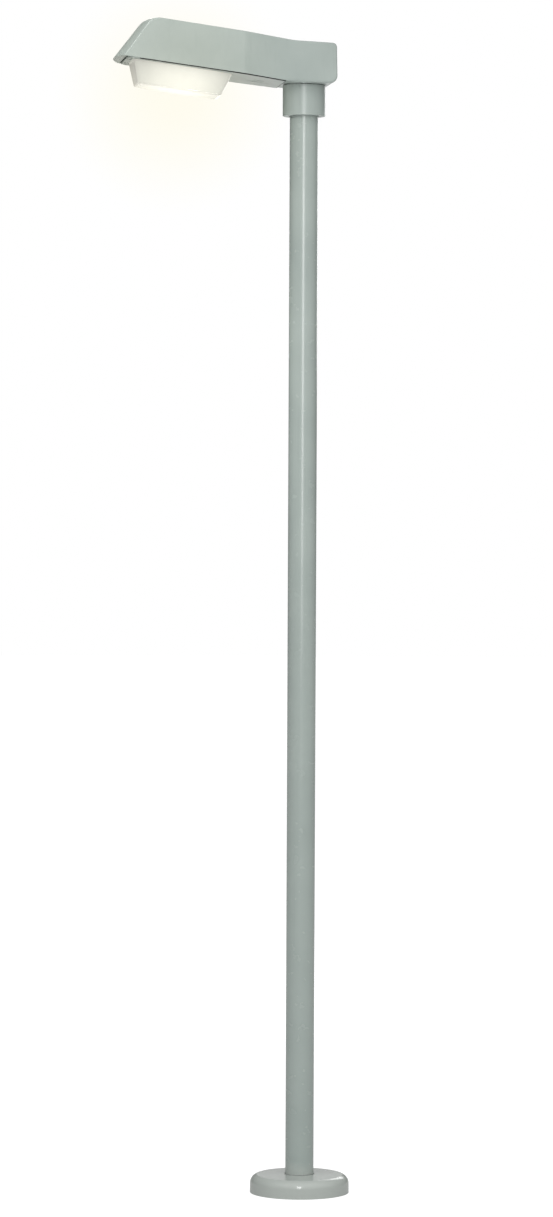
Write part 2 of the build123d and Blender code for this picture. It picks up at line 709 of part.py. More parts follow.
outer_block = head_block(0, ((AHEAD_X, rim_z(AHEAD_X)), (BEND_X, FLOOR_Z), (REAR_X, FLOOR_Z)))
cavity = head_block(
    CANOPY_WALL,
    (
        (AHEAD_X, FLOOR_Z),
        (FLOOR_FRONT_X, FLOOR_Z),
        (FLOOR_FRONT_X, FLOOR_TOP),
        (REAR_X - CANOPY_WALL, FLOOR_TOP),
    ),
)

LIP_L = LIP_REAR_X - AHEAD_X
with BuildPart() as nose_lip:
    with BuildSketch(RIM):
        with Locations((along(LIP_REAR_X) - LIP_L / 2, 0)):
            Rectangle(LIP_L, 4 * BROAD_HALF)
    extrude(amount=CANOPY_WALL)
    add(outer_block, mode=Mode.INTERSECT)

with BuildPart() as canopy:
    add(outer_block)
    fillet(canopy.edges().filter_by(is_upper_edge), EDGE_ROUND)
    add(cavity, mode=Mode.SUBTRACT)
    with BuildSketch(Plane.XY.offset(FLOOR_Z)):
        Circle(COLLAR_CABLE_R)
        with PolarLocations(COLLAR_BOLT_CIRCLE_R, 4, start_angle=45):
            Circle(COLLAR_BOLT_R)
    extrude(amount=FLOOR_T, mode=Mode.SUBTRACT)
    add(nose_lip.part)
save(canopy.part, "canopy")

# --- hinge of the lens frame, inside the nose ----------------------------------------------
PIVOT_U = along(PIVOT_X)
LUG_V = PIVOT_KNUCKLE_W / 2 + KNUCKLE_GAP + LUG_T / 2
PIVOT_AXIS = Plane(origin=RIM.from_local_coords((PIVOT_U, 0, PIVOT_UP)), x_dir=RIM.x_dir, z_dir=(0, 1, 0))


def pivot_rod(radius, middle, width):
    """A round rod on the lens frame's hinge axis."""
    with BuildPart() as rod:
        with BuildSketch(PIVOT_AXIS.offset(middle - width / 2)):
            Circle(radius)
        extrude(amount=width)
    return rod.part


with BuildPart() as frame_hinge_lugs:
    for hinge in (-PIVOT_V, PIVOT_V):
        for middle in (hinge - LUG_V, hinge + LUG_V):
            add(pivot_rod(PIVOT_R, middle, LUG_T))
            with BuildSketch(RIM.offset(PIVOT_UP)):
                with Locations((PIVOT_U, middle)):
                    Rectangle(2 * PIVOT_R, LUG_T)
            extrude(amount=80)
    add(cavity, mode=Mode.INTERSECT)
    for hinge in (-PIVOT_V, PIVOT_V):
        add(pivot_rod(PIVOT_PIN_R, hinge, 2 * LUG_V + 2 * LUG_T), mode=Mode.SUBTRACT)
save(frame_hinge_lugs.part, "frame_hinge_lugs")

with BuildPart() as frame_hinge_pins:
    for hinge in (-PIVOT_V, PIVOT_V):
        add(pivot_rod(PIVOT_PIN_R, hinge, 2 * LUG_V + LUG_T))
save(frame_hinge_pins.part, "frame_hinge_pins")

# --- lens frame ------------------------------------------------------------------------------
FRAME_REAR_X = FLOOR_FRONT_X - FRAME_REAR_GAP
FRAME_FRONT_U = along(FRAME_FRONT_X)
FRAME_REAR_U = along(FRAME_REAR_X)
FRAME_TOP = FRAME_PLATE_T - FRAME_DROP
FRAME_INSET = CANOPY_WALL + FRAME_SIDE_GAP + FRAME_TOP * DRAFT
LENS_FRONT_U = along(LENS_FRONT_X)
LENS_REAR_U = along(LENS_REAR_X)
LENS_MID_U = (LENS_FRONT_U + LENS_REAR_U) / 2
LENS_L = LENS_REAR_U - LENS_FRONT_U
CATCH_U = along(CATCH_X)


def frame_outline(inset):
    """Outline of the lens frame, parallel to the canopy's rim."""
    gap = FRAME_INSET + inset
    front_half = half_width(FRAME_FRONT_X) - gap
    broad_half = half_width(BROAD_X) - gap
    rear_half = half_width(FRAME_REAR_X) - gap
    front = FRAME_FRONT_U + inset
    rear = FRAME_REAR_U - inset
    with BuildSketch() as outline:
        with BuildLine():
            Polyline(
                (front, -front_half),
                (along(BROAD_X), -broad_half),
                (rear, -rear_half),
                (rear, rear_half),
                (along(BROAD_X), broad_half),
                (front, front_half),
                close=True,
            )
        make_face()
        fillet(outline.vertices().group_by(Axis.X)[0], FRAME_FRONT_ROUND - inset)
        fillet(outline.vertices().group_by(Axis.X)[-1], FRAME_REAR_ROUND - inset)
    return outline.sketch_local


def lens_opening(grow):
    """Rounded rectangle of the lens's rim, made larger all round."""
    with BuildSketch() as opening:
        with Locations((LENS_MID_U, 0)):
            RectangleRounded(LENS_L + 2 * grow, 2 * (LENS_HALF + grow), LENS_CORNER + grow)
    return opening.sketch_local


with BuildPart() as lens_frame:
    with BuildSketch(RIM.offset(-FRAME_DROP)):
        add(frame_outline(0))
        add(lens_opening(LENS_GAP), mode=Mode.SUBTRACT)
        with Locations((CATCH_U, 0)):
            Circle(CATCH_SHAFT_R + CATCH_FIT, mode=Mode.SUBTRACT)
        for hinge in (-PIVOT_V, PIVOT_V):
            for middle in (hinge - LUG_V, hinge + LUG_V):
                with Locations((FRAME_FRONT_U, middle)):
                    Rectangle(4 * PIVOT_R + 24, LUG_T + 3, mode=Mode.SUBTRACT)
    extrude(amount=FRAME_PLATE_T)
    with BuildSketch(RIM.offset(-FRAME_DROP)):
        with Locations((CATCH_U, 0)):
            Circle(CATCH_R + CATCH_GAP)
    extrude(amount=CATCH_POCKET_DEPTH, mode=Mode.SUBTRACT)
    for hinge in (-PIVOT_V, PIVOT_V):
        add(pivot_rod(PIVOT_R, hinge, PIVOT_KNUCKLE_W))
        add(pivot_rod(PIVOT_PIN_R + HINGE_FIT, hinge, PIVOT_KNUCKLE_W), mode=Mode.SUBTRACT)
save(lens_frame.part, "lens_frame")

with BuildPart() as frame_gasket:
    with BuildSketch(RIM.offset(0.5 - FRAME_DROP)):
        add(frame_outline(-GASKET_W))
        add(frame_outline(0), mode=Mode.SUBTRACT)
        with Locations((FRAME_FRONT_U, 0)):
            Rectangle(4 * FRAME_FRONT_ROUND, 3 * BROAD_HALF, mode=Mode.SUBTRACT)
    extrude(amount=GASKET_T)
save(frame_gasket.part, "frame_gasket")

# --- lens, its gasket, clips and screws ------------------------------------------------------
LENS_LOW_L = LENS_L - LENS_FRONT_DRAFT - LENS_REAR_DRAFT
LENS_LOW_MID_U = LENS_FRONT_U + LENS_FRONT_DRAFT + LENS_LOW_L / 2
FLANGE_LOW = FRAME_TOP + LENS_GASKET_T
CLIP_LOW = FLANGE_LOW + LENS_WALL


def bowl(inset, top, depth):
    """The lens's tapering bowl, smaller by inset, from a height above the rim down."""
    with BuildPart() as form:
        with BuildSketch(RIM.offset(top)):
            with Locations((LENS_MID_U, 0)):
                RectangleRounded(LENS_L - 2 * inset, 2 * (LENS_HALF - inset), LENS_CORNER - inset)
        with BuildSketch(RIM.offset(-depth)):
            with Locations((LENS_LOW_MID_U, 0)):
                RectangleRounded(LENS_LOW_L - 2 * inset, 2 * (LENS_HALF - LENS_SIDE_DRAFT - inset),
                                 LENS_CORNER - inset)
        loft()
        low = form.faces().filter_by(lambda f: f.normal_at().dot(RIM.z_dir) < -0.99)
        fillet(low.edges(), LENS_LOW_ROUND - inset)
    return form.part


with BuildPart() as lens:
    add(bowl(0, FLANGE_LOW, LENS_DEPTH))
    with BuildSketch(RIM.offset(FLANGE_LOW)):
        add(lens_opening(LENS_FLANGE))
    extrude(amount=LENS_WALL)
    add(bowl(LENS_WALL, FLANGE_LOW + LENS_WALL, LENS_DEPTH - LENS_WALL), mode=Mode.SUBTRACT)
save(lens.part, "lens")

with BuildPart() as lens_gasket:
    with BuildSketch(RIM.offset(FRAME_TOP)):
        add(lens_opening(LENS_FLANGE))
        add(lens_opening(LENS_GAP), mode=Mode.SUBTRACT)
    extrude(amount=LENS_GASKET_T)
save(lens_gasket.part, "lens_gasket")

CLIP_V = LENS_HALF + LENS_FLANGE + CLIP_L / 2 - 6
CLIP_SCREW_V = LENS_HALF + LENS_FLANGE + 8
CLIP_US = (LENS_MID_U - LENS_L / 3, LENS_MID_U, LENS_MID_U + LENS_L / 3)
with BuildPart() as lens_clips:
    for side in (-1, 1):
        for clip_u in CLIP_US:
            with BuildSketch(RIM.offset(CLIP_LOW)):
                with Locations((clip_u, side * CLIP_V)):
                    Rectangle(CLIP_W, CLIP_L)
            extrude(amount=CLIP_T)
            with BuildSketch(RIM.offset(FRAME_TOP)):
                with Locations((clip_u, side * CLIP_SCREW_V)):
                    Circle(5)
            extrude(amount=CLIP_LOW - FRAME_TOP)
            with BuildSketch(RIM.offset(FRAME_TOP)):
                with Locations((clip_u, side * CLIP_SCREW_V)):
                    Circle(2)
            extrude(amount=CLIP_LOW - FRAME_TOP + CLIP_T, mode=Mode.SUBTRACT)
save(lens_clips.part, "lens_clips")

with BuildPart() as clip_screws:
    for side in (-1, 1):
        for clip_u in CLIP_US:
            with BuildSketch(RIM.offset(FRAME_TOP)):
                with Locations((clip_u, side * CLIP_SCREW_V)):
                    Circle(2)
            extrude(amount=CLIP_LOW - FRAME_TOP + CLIP_T)
            with BuildSketch(RIM.offset(CLIP_LOW + CLIP_T)):
                with Locations((clip_u, side * CLIP_SCREW_V)):
                    Circle(4)
            extrude(amount=2)
save(clip_screws.part, "clip_screws")

# --- quarter-turn catch ------------------------------------------------------------------------
CATCH_FACE = 0.5 - FRAME_DROP
CATCH_BAR_LOW = FRAME_TOP + CATCH_BAR_LIFT
CATCH_BAR_REACH = along(FLOOR_FRONT_X) - CATCH_U + CATCH_BAR_GRIP
with BuildPart() as catch_disc:
    with BuildSketch(RIM.offset(CATCH_FACE)):
        with Locations((CATCH_U, 0)):
            Circle(CATCH_R)
            Circle(CATCH_SHAFT_R, mode=Mode.SUBTRACT)
    extrude(amount=CATCH_T)
    with BuildSketch(RIM.offset(CATCH_FACE)):
        with Locations((CATCH_U, CATCH_R / 2), (CATCH_U, -CATCH_R / 2)):
            SlotOverall(CATCH_R, 14)
    extrude(amount=CATCH_T / 2, mode=Mode.SUBTRACT)
save(catch_disc.part, "catch_disc")

with BuildPart() as catch_shaft:
    with BuildSketch(RIM.offset(CATCH_FACE)):
        with Locations((CATCH_U, 0)):
            Circle(CATCH_SHAFT_R)
    extrude(amount=CATCH_BAR_LOW + CATCH_BAR_T + 4 - CATCH_FACE)
save(catch_shaft.part, "catch_shaft")

with BuildPart() as catch_bar:
    with BuildSketch(RIM.offset(CATCH_BAR_LOW)):
        with Locations((CATCH_U, (CATCH_BAR_REACH - CATCH_BAR_W) / 2)):
            RectangleRounded(CATCH_BAR_W, CATCH_BAR_REACH + CATCH_BAR_W, 6)
        with Locations((CATCH_U, 0)):
            Circle(CATCH_SHAFT_R, mode=Mode.SUBTRACT)
    extrude(amount=CATCH_BAR_T)
save(catch_bar.part, "catch_bar")

# --- gear tray and what hangs under it -----------------------------------------------------
TRAY_MID_U = (along(TRAY_FRONT_X) + along(TRAY_REAR_X)) / 2
TRAY_L = along(TRAY_REAR_X) - along(TRAY_FRONT_X)
POST_R = 4
with BuildPart() as gear_tray:
    with BuildSketch(RIM.offset(TRAY_UP)):
        with Locations((TRAY_MID_U, 0)):
            RectangleRounded(TRAY_L, 2 * TRAY_HALF, 6)
    extrude(amount=TRAY_T)
save(gear_tray.part, "gear_tray")

with BuildPart() as tray_posts:
    with BuildSketch(RIM.offset(TRAY_UP + TRAY_T)):
        with Locations((TRAY_MID_U, 0)):
            with GridLocations(TRAY_L - 24, 2 * TRAY_HALF - 24, 2, 2):
                Circle(POST_R)
    extrude(amount=100)
    add(cavity, mode=Mode.INTERSECT)
save(tray_posts.part, "tray_posts")

BALLAST_L = 112
BALLAST_W = 68
BALLAST_H = 56
with BuildPart() as ballast:
    with BuildSketch(RIM.offset(TRAY_UP)):
        with Locations((TRAY_MID_U, -TRAY_HALF + BALLAST_W / 2 + 6)):
            Rectangle(BALLAST_L, BALLAST_W)
    extrude(amount=-BALLAST_H)
    chamfer(ballast.edges().filter_by(lambda e: abs(e.tangent_at(0).dot(RIM.z_dir)) > 0.99), 3)
    with BuildSketch(RIM.offset(TRAY_UP)):
        with Locations((TRAY_MID_U, -TRAY_HALF + BALLAST_W / 2 + 6)):
            Rectangle(BALLAST_L + 36, BALLAST_W - 20)
    extrude(amount=-2)
save(ballast.part, "ballast")

IGNITOR_L = 74
IGNITOR_W = 34
IGNITOR_H = 30
with BuildPart() as ignitor:
    with BuildSketch(RIM.offset(TRAY_UP)):
        with Locations((TRAY_MID_U - TRAY_L / 4, TRAY_HALF - IGNITOR_W / 2 - 10)):
            RectangleRounded(IGNITOR_L, IGNITOR_W, 4)
    extrude(amount=-IGNITOR_H)
save(ignitor.part, "ignitor")

CAPACITOR_R = 15
CAPACITOR_L = 82
with BuildPart() as capacitor:
    across = Plane(
        origin=RIM.from_local_coords((TRAY_MID_U + 6, TRAY_HALF - CAPACITOR_R - 12, TRAY_UP - CAPACITOR_R)),
        x_dir=(0, 1, 0), z_dir=RIM.x_dir)
    with BuildSketch(across):
        Circle(CAPACITOR_R)
    extrude(amount=CAPACITOR_L)
save(capacitor.part, "capacitor")

# --- lamp, its holder and bracket ------------------------------------------------------------
LAMP_AXIS = Plane(origin=RIM.from_local_coords((along(HOLDER_X), 0, LAMP_UP)), x_dir=(0, -1, 0),
                  z_dir=-RIM.x_dir)
BRACKET_W = 50
with BuildPart() as holder_bracket:
    with BuildSketch(LAMP_AXIS):
        with Locations((0, (TRAY_UP - LAMP_UP - HOLDER_R - 4) / 2)):
            Rectangle(BRACKET_W, TRAY_UP - LAMP_UP + HOLDER_R + 4)
    extrude(amount=-2)
save(holder_bracket.part, "holder_bracket")

with BuildPart() as lamp_holder:
    with BuildSketch(LAMP_AXIS):
        Circle(HOLDER_R)
    extrude(amount=HOLDER_L)
    fillet(lamp_holder.edges().sort_by(Axis.X)[0], 3)
    with BuildSketch(LAMP_AXIS.offset(HOLDER_L)):
        Circle(LAMP_CAP_R + 0.2)
    extrude(amount=-LAMP_CAP_L, mode=Mode.SUBTRACT)
save(lamp_holder.part, "lamp_holder")

with BuildPart() as lamp_cap:
    with BuildSketch(LAMP_AXIS.offset(HOLDER_L - LAMP_CAP_L)):
        Circle(LAMP_CAP_R)
    extrude(amount=LAMP_CAP_L + 4)
save(lamp_cap.part, "lamp_cap")

BULB_START = HOLDER_L + 4
GLASS = 1.5


def bulb_outline(inset):
    """Half section of the bulb: a neck that swells to an egg shape, in the lamp's own plane."""
    end = BULB_START + LAMP_L - inset
    start = BULB_START + inset
    neck_r = LAMP_CAP_R - inset
    widest = BULB_START + 0.62 * LAMP_L
    with BuildSketch() as outline:
        with BuildLine():
            Polyline((0, end), (0, start), (neck_r, start), (neck_r, start + 12))
            Spline((neck_r, start + 12), (LAMP_R - inset, widest), (0, end),
                   tangents=((0, 1), (-1, 0)), tangent_scalars=(1, 1))
        make_face()
    return outline.sketch_local


LAMP_SECTION = Plane(origin=LAMP_AXIS.origin, x_dir=(0, 1, 0), z_dir=RIM.z_dir)
with BuildPart() as lamp_bulb:
    with BuildSketch(LAMP_SECTION):
        add(bulb_outline(0))
    revolve(axis=Axis(LAMP_AXIS.origin, LAMP_AXIS.z_dir))
    with BuildSketch(LAMP_SECTION):
        add(bulb_outline(GLASS))
    revolve(axis=Axis(LAMP_AXIS.origin, LAMP_AXIS.z_dir), mode=Mode.SUBTRACT)
save(lamp_bulb.part, "lamp_bulb")

with BuildPart() as arc_tube:
    with BuildSketch(LAMP_AXIS.offset(BULB_START + GLASS)):
        Circle(1.5)
    extrude(amount=44)
    with BuildSketch(LAMP_AXIS.offset(BULB_START + GLASS + 44)):
        Circle(4)
    extrude(amount=48)
save(arc_tube.part, "arc_tube")

# --- reflector and its hangers ---------------------------------------------------------------
REFLECTOR_TOP_DRAFT = 62
REFLECTOR_END_DRAFT = 40


def trough(inset, low):
    """The reflector's tapering box, open below, smaller by inset."""
    with BuildPart() as form:
        with BuildSketch(RIM.offset(low)):
            with Locations((LENS_MID_U, 0)):
                RectangleRounded(LENS_L - 16 - 2 * inset, 2 * (LENS_HALF - 8 - inset), 24)
        with BuildSketch(RIM.offset(REFLECTOR_UP + REFLECTOR_H - inset)):
            with Locations((LENS_MID_U, 0)):
                RectangleRounded(LENS_L - 2 * REFLECTOR_END_DRAFT - 2 * inset,
                                 2 * (LENS_HALF - REFLECTOR_TOP_DRAFT - inset), 24)
        loft()
    return form.part


with BuildPart() as reflector:
    add(trough(0, REFLECTOR_UP))
    add(trough(REFLECTOR_T, REFLECTOR_UP - 0.01), mode=Mode.SUBTRACT)
    with BuildSketch(LAMP_AXIS.offset(-10)):
        Circle(HOLDER_R + 3)
    extrude(amount=HOLDER_L + 60, mode=Mode.SUBTRACT)
save(reflector.part, "reflector")

with BuildPart() as reflector_hangers:
    with BuildSketch(RIM.offset(REFLECTOR_UP + REFLECTOR_H)):
        with Locations((LENS_MID_U, 0)):
            with GridLocations(LENS_L / 2, LENS_HALF / 2, 2, 2):
                Circle(3)
    extrude(amount=120)
    add(cavity, mode=Mode.INTERSECT)
save(reflector_hangers.part, "reflector_hangers")

# --- terminal block, clamp and the lead inside the head --------------------------------------
TERMINAL_X = 74
TERMINAL_D = 24
TERMINAL_W = 80
TERMINAL_H = 22
LEAD_RISE = 76
with BuildPart() as terminal_block:
    with Locations((TERMINAL_X, 0, FLOOR_TOP + TERMINAL_H / 2)):
        Box(TERMINAL_D, TERMINAL_W, TERMINAL_H)
    with Locations((TERMINAL_X, 0, FLOOR_TOP + TERMINAL_H)):
        with GridLocations(0, TERMINAL_W / 5, 1, 5):
            Cylinder(3, 8, mode=Mode.SUBTRACT)
save(terminal_block.part, "terminal_block")

LEAD_START = CABLE_PARTING + 0.5
LEAD_TOP = FLOOR_TOP + LEAD_RISE
with BuildPart() as head_lead:
    with BuildLine() as lead_path:
        FilletPolyline((0, 0, LEAD_START), (0, 0, LEAD_TOP), (TERMINAL_X, 0, LEAD_TOP),
                       (TERMINAL_X, 0, FLOOR_TOP + TERMINAL_H - 4), radius=0.45 * TERMINAL_X)
    with BuildSketch(Plane.XY.offset(LEAD_START)):
        Circle(CABLE_R - 1)
    sweep()
save(head_lead.part, "head_lead")

with BuildPart() as cable_clamp:
    with BuildSketch(Plane.XY.offset(FLOOR_TOP)):
        Rectangle(2 * COLLAR_CABLE_R + 12, 24)
        Circle(CABLE_R - 1, mode=Mode.SUBTRACT)
    extrude(amount=6)
save(cable_clamp.part, "cable_clamp")
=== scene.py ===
# %% [markdown]
# # Street lamp post
# A round steel column stands on a bolted base plate. It carries a cast aluminium lamp head whose
# opal bowl glows. The engineering model gives every part its true place and size. This lesson
# gives the parts their finishes, remakes the small repeated parts finely, and sets up the studio.
# %% Load the frame
import json
import math

import bmesh
import bpy
from mathutils import Matrix, Vector


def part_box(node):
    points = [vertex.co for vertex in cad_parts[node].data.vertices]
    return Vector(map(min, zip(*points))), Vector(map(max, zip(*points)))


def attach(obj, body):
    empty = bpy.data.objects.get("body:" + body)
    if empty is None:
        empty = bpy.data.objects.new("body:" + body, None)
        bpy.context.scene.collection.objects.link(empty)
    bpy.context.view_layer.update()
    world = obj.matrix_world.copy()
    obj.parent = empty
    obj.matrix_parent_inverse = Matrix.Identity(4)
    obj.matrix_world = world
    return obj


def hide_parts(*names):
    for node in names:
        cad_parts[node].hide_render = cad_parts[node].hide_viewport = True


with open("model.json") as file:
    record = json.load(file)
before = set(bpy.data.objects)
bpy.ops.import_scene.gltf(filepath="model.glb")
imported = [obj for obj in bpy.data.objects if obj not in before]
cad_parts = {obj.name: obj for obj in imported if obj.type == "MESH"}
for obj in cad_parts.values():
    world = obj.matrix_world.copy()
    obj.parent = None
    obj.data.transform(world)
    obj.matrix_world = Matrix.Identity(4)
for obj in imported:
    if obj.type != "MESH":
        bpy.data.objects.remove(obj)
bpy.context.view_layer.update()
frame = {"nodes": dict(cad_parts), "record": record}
nodes = frame["nodes"]
slot_of = {part["node"]: part["material_slot"] for part in frame["record"]["subparts"]}

# %% [markdown]
# Millimetres are the workshop's unit and metres are Blender's, so one constant turns one into the
# other. Paint charts give colours as sRGB hex values, and shaders want linear light, so one
# function does that step for every finish.
# %% Units and colours
MM = 0.001


def linear(hex_value):
    """Turns an sRGB hex colour into linear RGBA."""
    channels = [int(hex_value[i:i + 2], 16) / 255 for i in (1, 3, 5)]
    light = [c / 12.92 if c <= 0.04045 else ((c + 0.055) / 1.055) ** 2.4 for c in channels]
    return (*light, 1.0)


print("mid grey is", linear("#808080")[0])

# %% [markdown]
# Every shader and every Geometry Nodes tree below is built with the same small function. It adds
# one node and fills its inputs, each with a link, a hex colour or a plain value.
#
# A material is a few patterns on the part's own coordinates. They tint its colour, vary its
# roughness and raise its surface, and every pattern has a real size in millimetres.
# %% One function for nodes, and how a material starts and ends
UNDER, OVER, TINTED = 6, 7, 2            # a Mix node's sockets for two colours and for their mix
LOW, HIGH = 0.3, 0.7                     # most of a noise's values lie between these
MIDDLE = {"From Min": LOW, "From Max": HIGH}


def put(tree, kind, inputs=None, **settings):
    """Adds one node. An input is given a socket to link from, a hex colour or a plain value."""
    node = tree.nodes.new(kind)
    for name, value in settings.items():
        setattr(node, name, value)
    for label, given in (inputs or {}).items():
        if isinstance(given, bpy.types.NodeSocket):
            tree.links.new(given, node.inputs[label])
        else:
            node.inputs[label].default_value = linear(given) if isinstance(given, str) else given
    return node


def start_finish(name):
    """Starts a material; returns it, its tree and the coordinates that its patterns read."""
    material = bpy.data.materials.new(name)
    material.use_nodes = True
    tree = material.node_tree
    tree.nodes.clear()
    return material, tree, put(tree, "ShaderNodeTexCoord").outputs["Object"]


def end_finish(tree, inputs, relief, depth_mm, strength=1.0):
    """Ends a material with a bump that is depth_mm deep and a shader that has these inputs."""
    bump = put(tree, "ShaderNodeBump", {
        "Height": relief, "Distance": depth_mm * MM, "Strength": strength})
    shader = put(tree, "ShaderNodeBsdfPrincipled", {"Normal": bump.outputs["Normal"], **inputs})
    put(tree, "ShaderNodeOutputMaterial", {"Surface": shader.outputs["BSDF"]})


def grain(tree, place, size_mm, detail=3, stretch=(1, 1, 1)):
    """Noise whose blobs are about size_mm across, or stretch times that along each axis."""
    scale = [1 / (size_mm * MM * s) for s in stretch]
    mapped = put(tree, "ShaderNodeMapping", {"Vector": place, "Scale": scale})
    noise = put(tree, "ShaderNodeTexNoise", {
        "Vector": mapped.outputs["Vector"], "Scale": 1.0, "Detail": detail})
    return noise.outputs["Fac"]


def tinted(tree, colour, *layers):
    """Lays tints over a colour and returns the socket of the result.

    A layer is a pattern, its range, the tint's strength at each end of the range, and the tint.
    """
    for pattern, start, end, first, last, tint in layers:
        strength = put(tree, "ShaderNodeMapRange", {
            "Value": pattern, "From Min": start, "From Max": end, "To Min": first, "To Max": last})
        mix = put(tree, "ShaderNodeMix", {
            "Factor": strength.outputs["Result"], UNDER: colour, OVER: tint}, data_type="RGBA")
        colour = mix.outputs[TINTED]
    return colour


print("a noise's middle range:", MIDDLE)

# %% [markdown]
# Columns like this are hot-dip galvanised and then powder coated. The powder melts and flows, and
# keeps a faint orange peel that breaks up the highlights. Outdoors, rain draws thin streaks down
# it and splashes dust the foot. The lower half is also tinted darker towards the ground: that is
# painted shade. Each of these is one layer, made from noise of its real size, from the height above
# the ground, or from both. The orange peel is 2 mm across on the real coat and is drawn at 7 mm so
# that it shows. The foot cover is smoother than the column, so its coat shines more.
# %% Powder-coated steel and cast aluminium
COAT = "#9DA7A2"
COAT_DARK = "#8F9995"
COAT_LIGHT = "#A9B2AD"
ROAD_DUST = "#ADB1AC"
COAT_SHARE = 0.65                        # of the coat's own tone, against its clouds
# the painted shade on the lower column is strongest at the first height and gone by the second
PAINTED_SHADE_START, PAINTED_SHADE_END = 0.3, 2.6        # metres above the ground
SPLASH_START, SPLASH_END = 0.045, 0.1
SPLASH_WAVE = -0.06                      # metres by which noise moves the splash's upper edge
COVER_END, COLUMN_START = 0.076, 0.09


def powder_coat(name, peel_mm, peel_depth_mm, cloud_mm, roughness):
    """Satin grey-green powder coat with peel, clouds of tone, rain streaks, painted shade low down
    and dust at the foot.
    """
    material, tree, place = start_finish(name)
    height = put(tree, "ShaderNodeSeparateXYZ", {"Vector": place}).outputs["Z"]
    clouds = tinted(tree, COAT_DARK, (grain(tree, place, cloud_mm, 4), LOW, HIGH, 0, 1, COAT_LIGHT))
    plain = put(tree, "ShaderNodeMix", {"Factor": COAT_SHARE, UNDER: clouds, OVER: COAT},
                data_type="RGBA")
    rain = grain(tree, place, 14, 2, stretch=(1, 1, 40))
    splash = put(tree, "ShaderNodeMath", {0: grain(tree, place, 60, 4), 1: SPLASH_WAVE, 2: height},
                 operation="MULTIPLY_ADD")
    # this colour carries the rain streaks and the dust, and also the painted shade on the lower
    # column
    weathered = tinted(
        tree, plain.outputs[TINTED],
        (rain, 0.56, 0.8, 0, 0.22, COAT_DARK),
        # painted shade: the column is tinted darker towards the ground, fading out upwards
        (height, PAINTED_SHADE_START, PAINTED_SHADE_END, 0.5, 0, COAT_DARK),
        (splash.outputs["Value"], SPLASH_START, SPLASH_END, 0.65, 0, ROAD_DUST))
    uneven = put(tree, "ShaderNodeMapRange", {
        "Value": grain(tree, place, 35), **MIDDLE,
        "To Min": roughness - 0.02, "To Max": roughness + 0.03})
    cover_share = put(tree, "ShaderNodeMapRange", {
        "Value": height, "From Min": COVER_END, "From Max": COLUMN_START,
        "To Min": 0.5, "To Max": 1.0})
    shine = put(tree, "ShaderNodeMath", {
        0: uneven.outputs["Result"], 1: cover_share.outputs["Result"]}, operation="MULTIPLY")
    end_finish(tree, {"Base Color": weathered, "Roughness": shine.outputs["Value"], "IOR": 1.5},
               grain(tree, place, peel_mm, 1), peel_depth_mm)
    return material


FINISHES = {
    "pole_paint": powder_coat("powder coat on galvanised steel tube", 7, 0.07, 220, 0.25),
    "head_paint": powder_coat("powder coat on sand-cast aluminium", 9, 0.12, 160, 0.33),
}
print("coats:", [m.name for m in FINISHES.values()])

# %% [markdown]
# Steel dipped in molten zinc freezes in flakes called spangle, 10 to 20 mm across, each with its
# own grey. Small fasteners are plated in a bath instead, which leaves a much finer pattern and a
# slightly yellow sheen. Turned and drawn metal has fine lines along or round it.
# %% Zinc, steel and brass


def galvanised(name, flake_mm, light, dark, roughness):
    """Zinc: flakes of different grey with a slightly different shine each."""
    material, tree, place = start_finish(name)
    flakes = put(tree, "ShaderNodeTexVoronoi", {"Vector": place, "Scale": 1 / (flake_mm * MM)})
    shade = put(tree, "ShaderNodeSeparateColor", {"Color": flakes.outputs["Color"]}).outputs
    shine = put(tree, "ShaderNodeMapRange", {
        "Value": shade[1], "To Min": roughness - 0.08, "To Max": roughness + 0.12})
    end_finish(tree, {"Base Color": tinted(tree, dark, (shade[0], 0, 1, 0, 1, light)),
                      "Roughness": shine.outputs["Result"], "Metallic": 1.0},
               grain(tree, place, 3, 2), 0.1)
    return material


def machined(name, light, dark, roughness, line_mm=0.6, stretch=(1, 1, 20)):
    """Turned or drawn metal: fine lines along one axis in its shine and its tone."""
    material, tree, place = start_finish(name)
    lines = grain(tree, place, line_mm, 2, stretch)
    shine = put(tree, "ShaderNodeMapRange", {
        "Value": lines, **MIDDLE, "To Min": roughness - 0.06, "To Max": roughness + 0.08})
    end_finish(tree, {"Base Color": tinted(tree, dark, (lines, 0, 1, 0, 1, light)),
                      "Roughness": shine.outputs["Result"], "Metallic": 1.0}, lines, 0.03)
    return material


FINISHES["galvanised"] = galvanised("hot-dip galvanised steel", 14, "#B4B8BA", "#85898C", 0.42)
FINISHES["zinc"] = galvanised("zinc-plated steel", 3, "#C2C1B6", "#A3A29A", 0.32)
FINISHES["stainless"] = machined("turned stainless steel", "#C4C5C4", "#9C9D9D", 0.26)
FINISHES["brass"] = machined("drawn brass", "#CDA85B", "#A98542", 0.28)
FINISHES["iron"] = machined("varnished transformer steel", "#5A5552", "#38332F", 0.45, 1.0,
                            (1, 1, 0.6))
print("metals:", [m.name for m in list(FINISHES.values())[2:]])

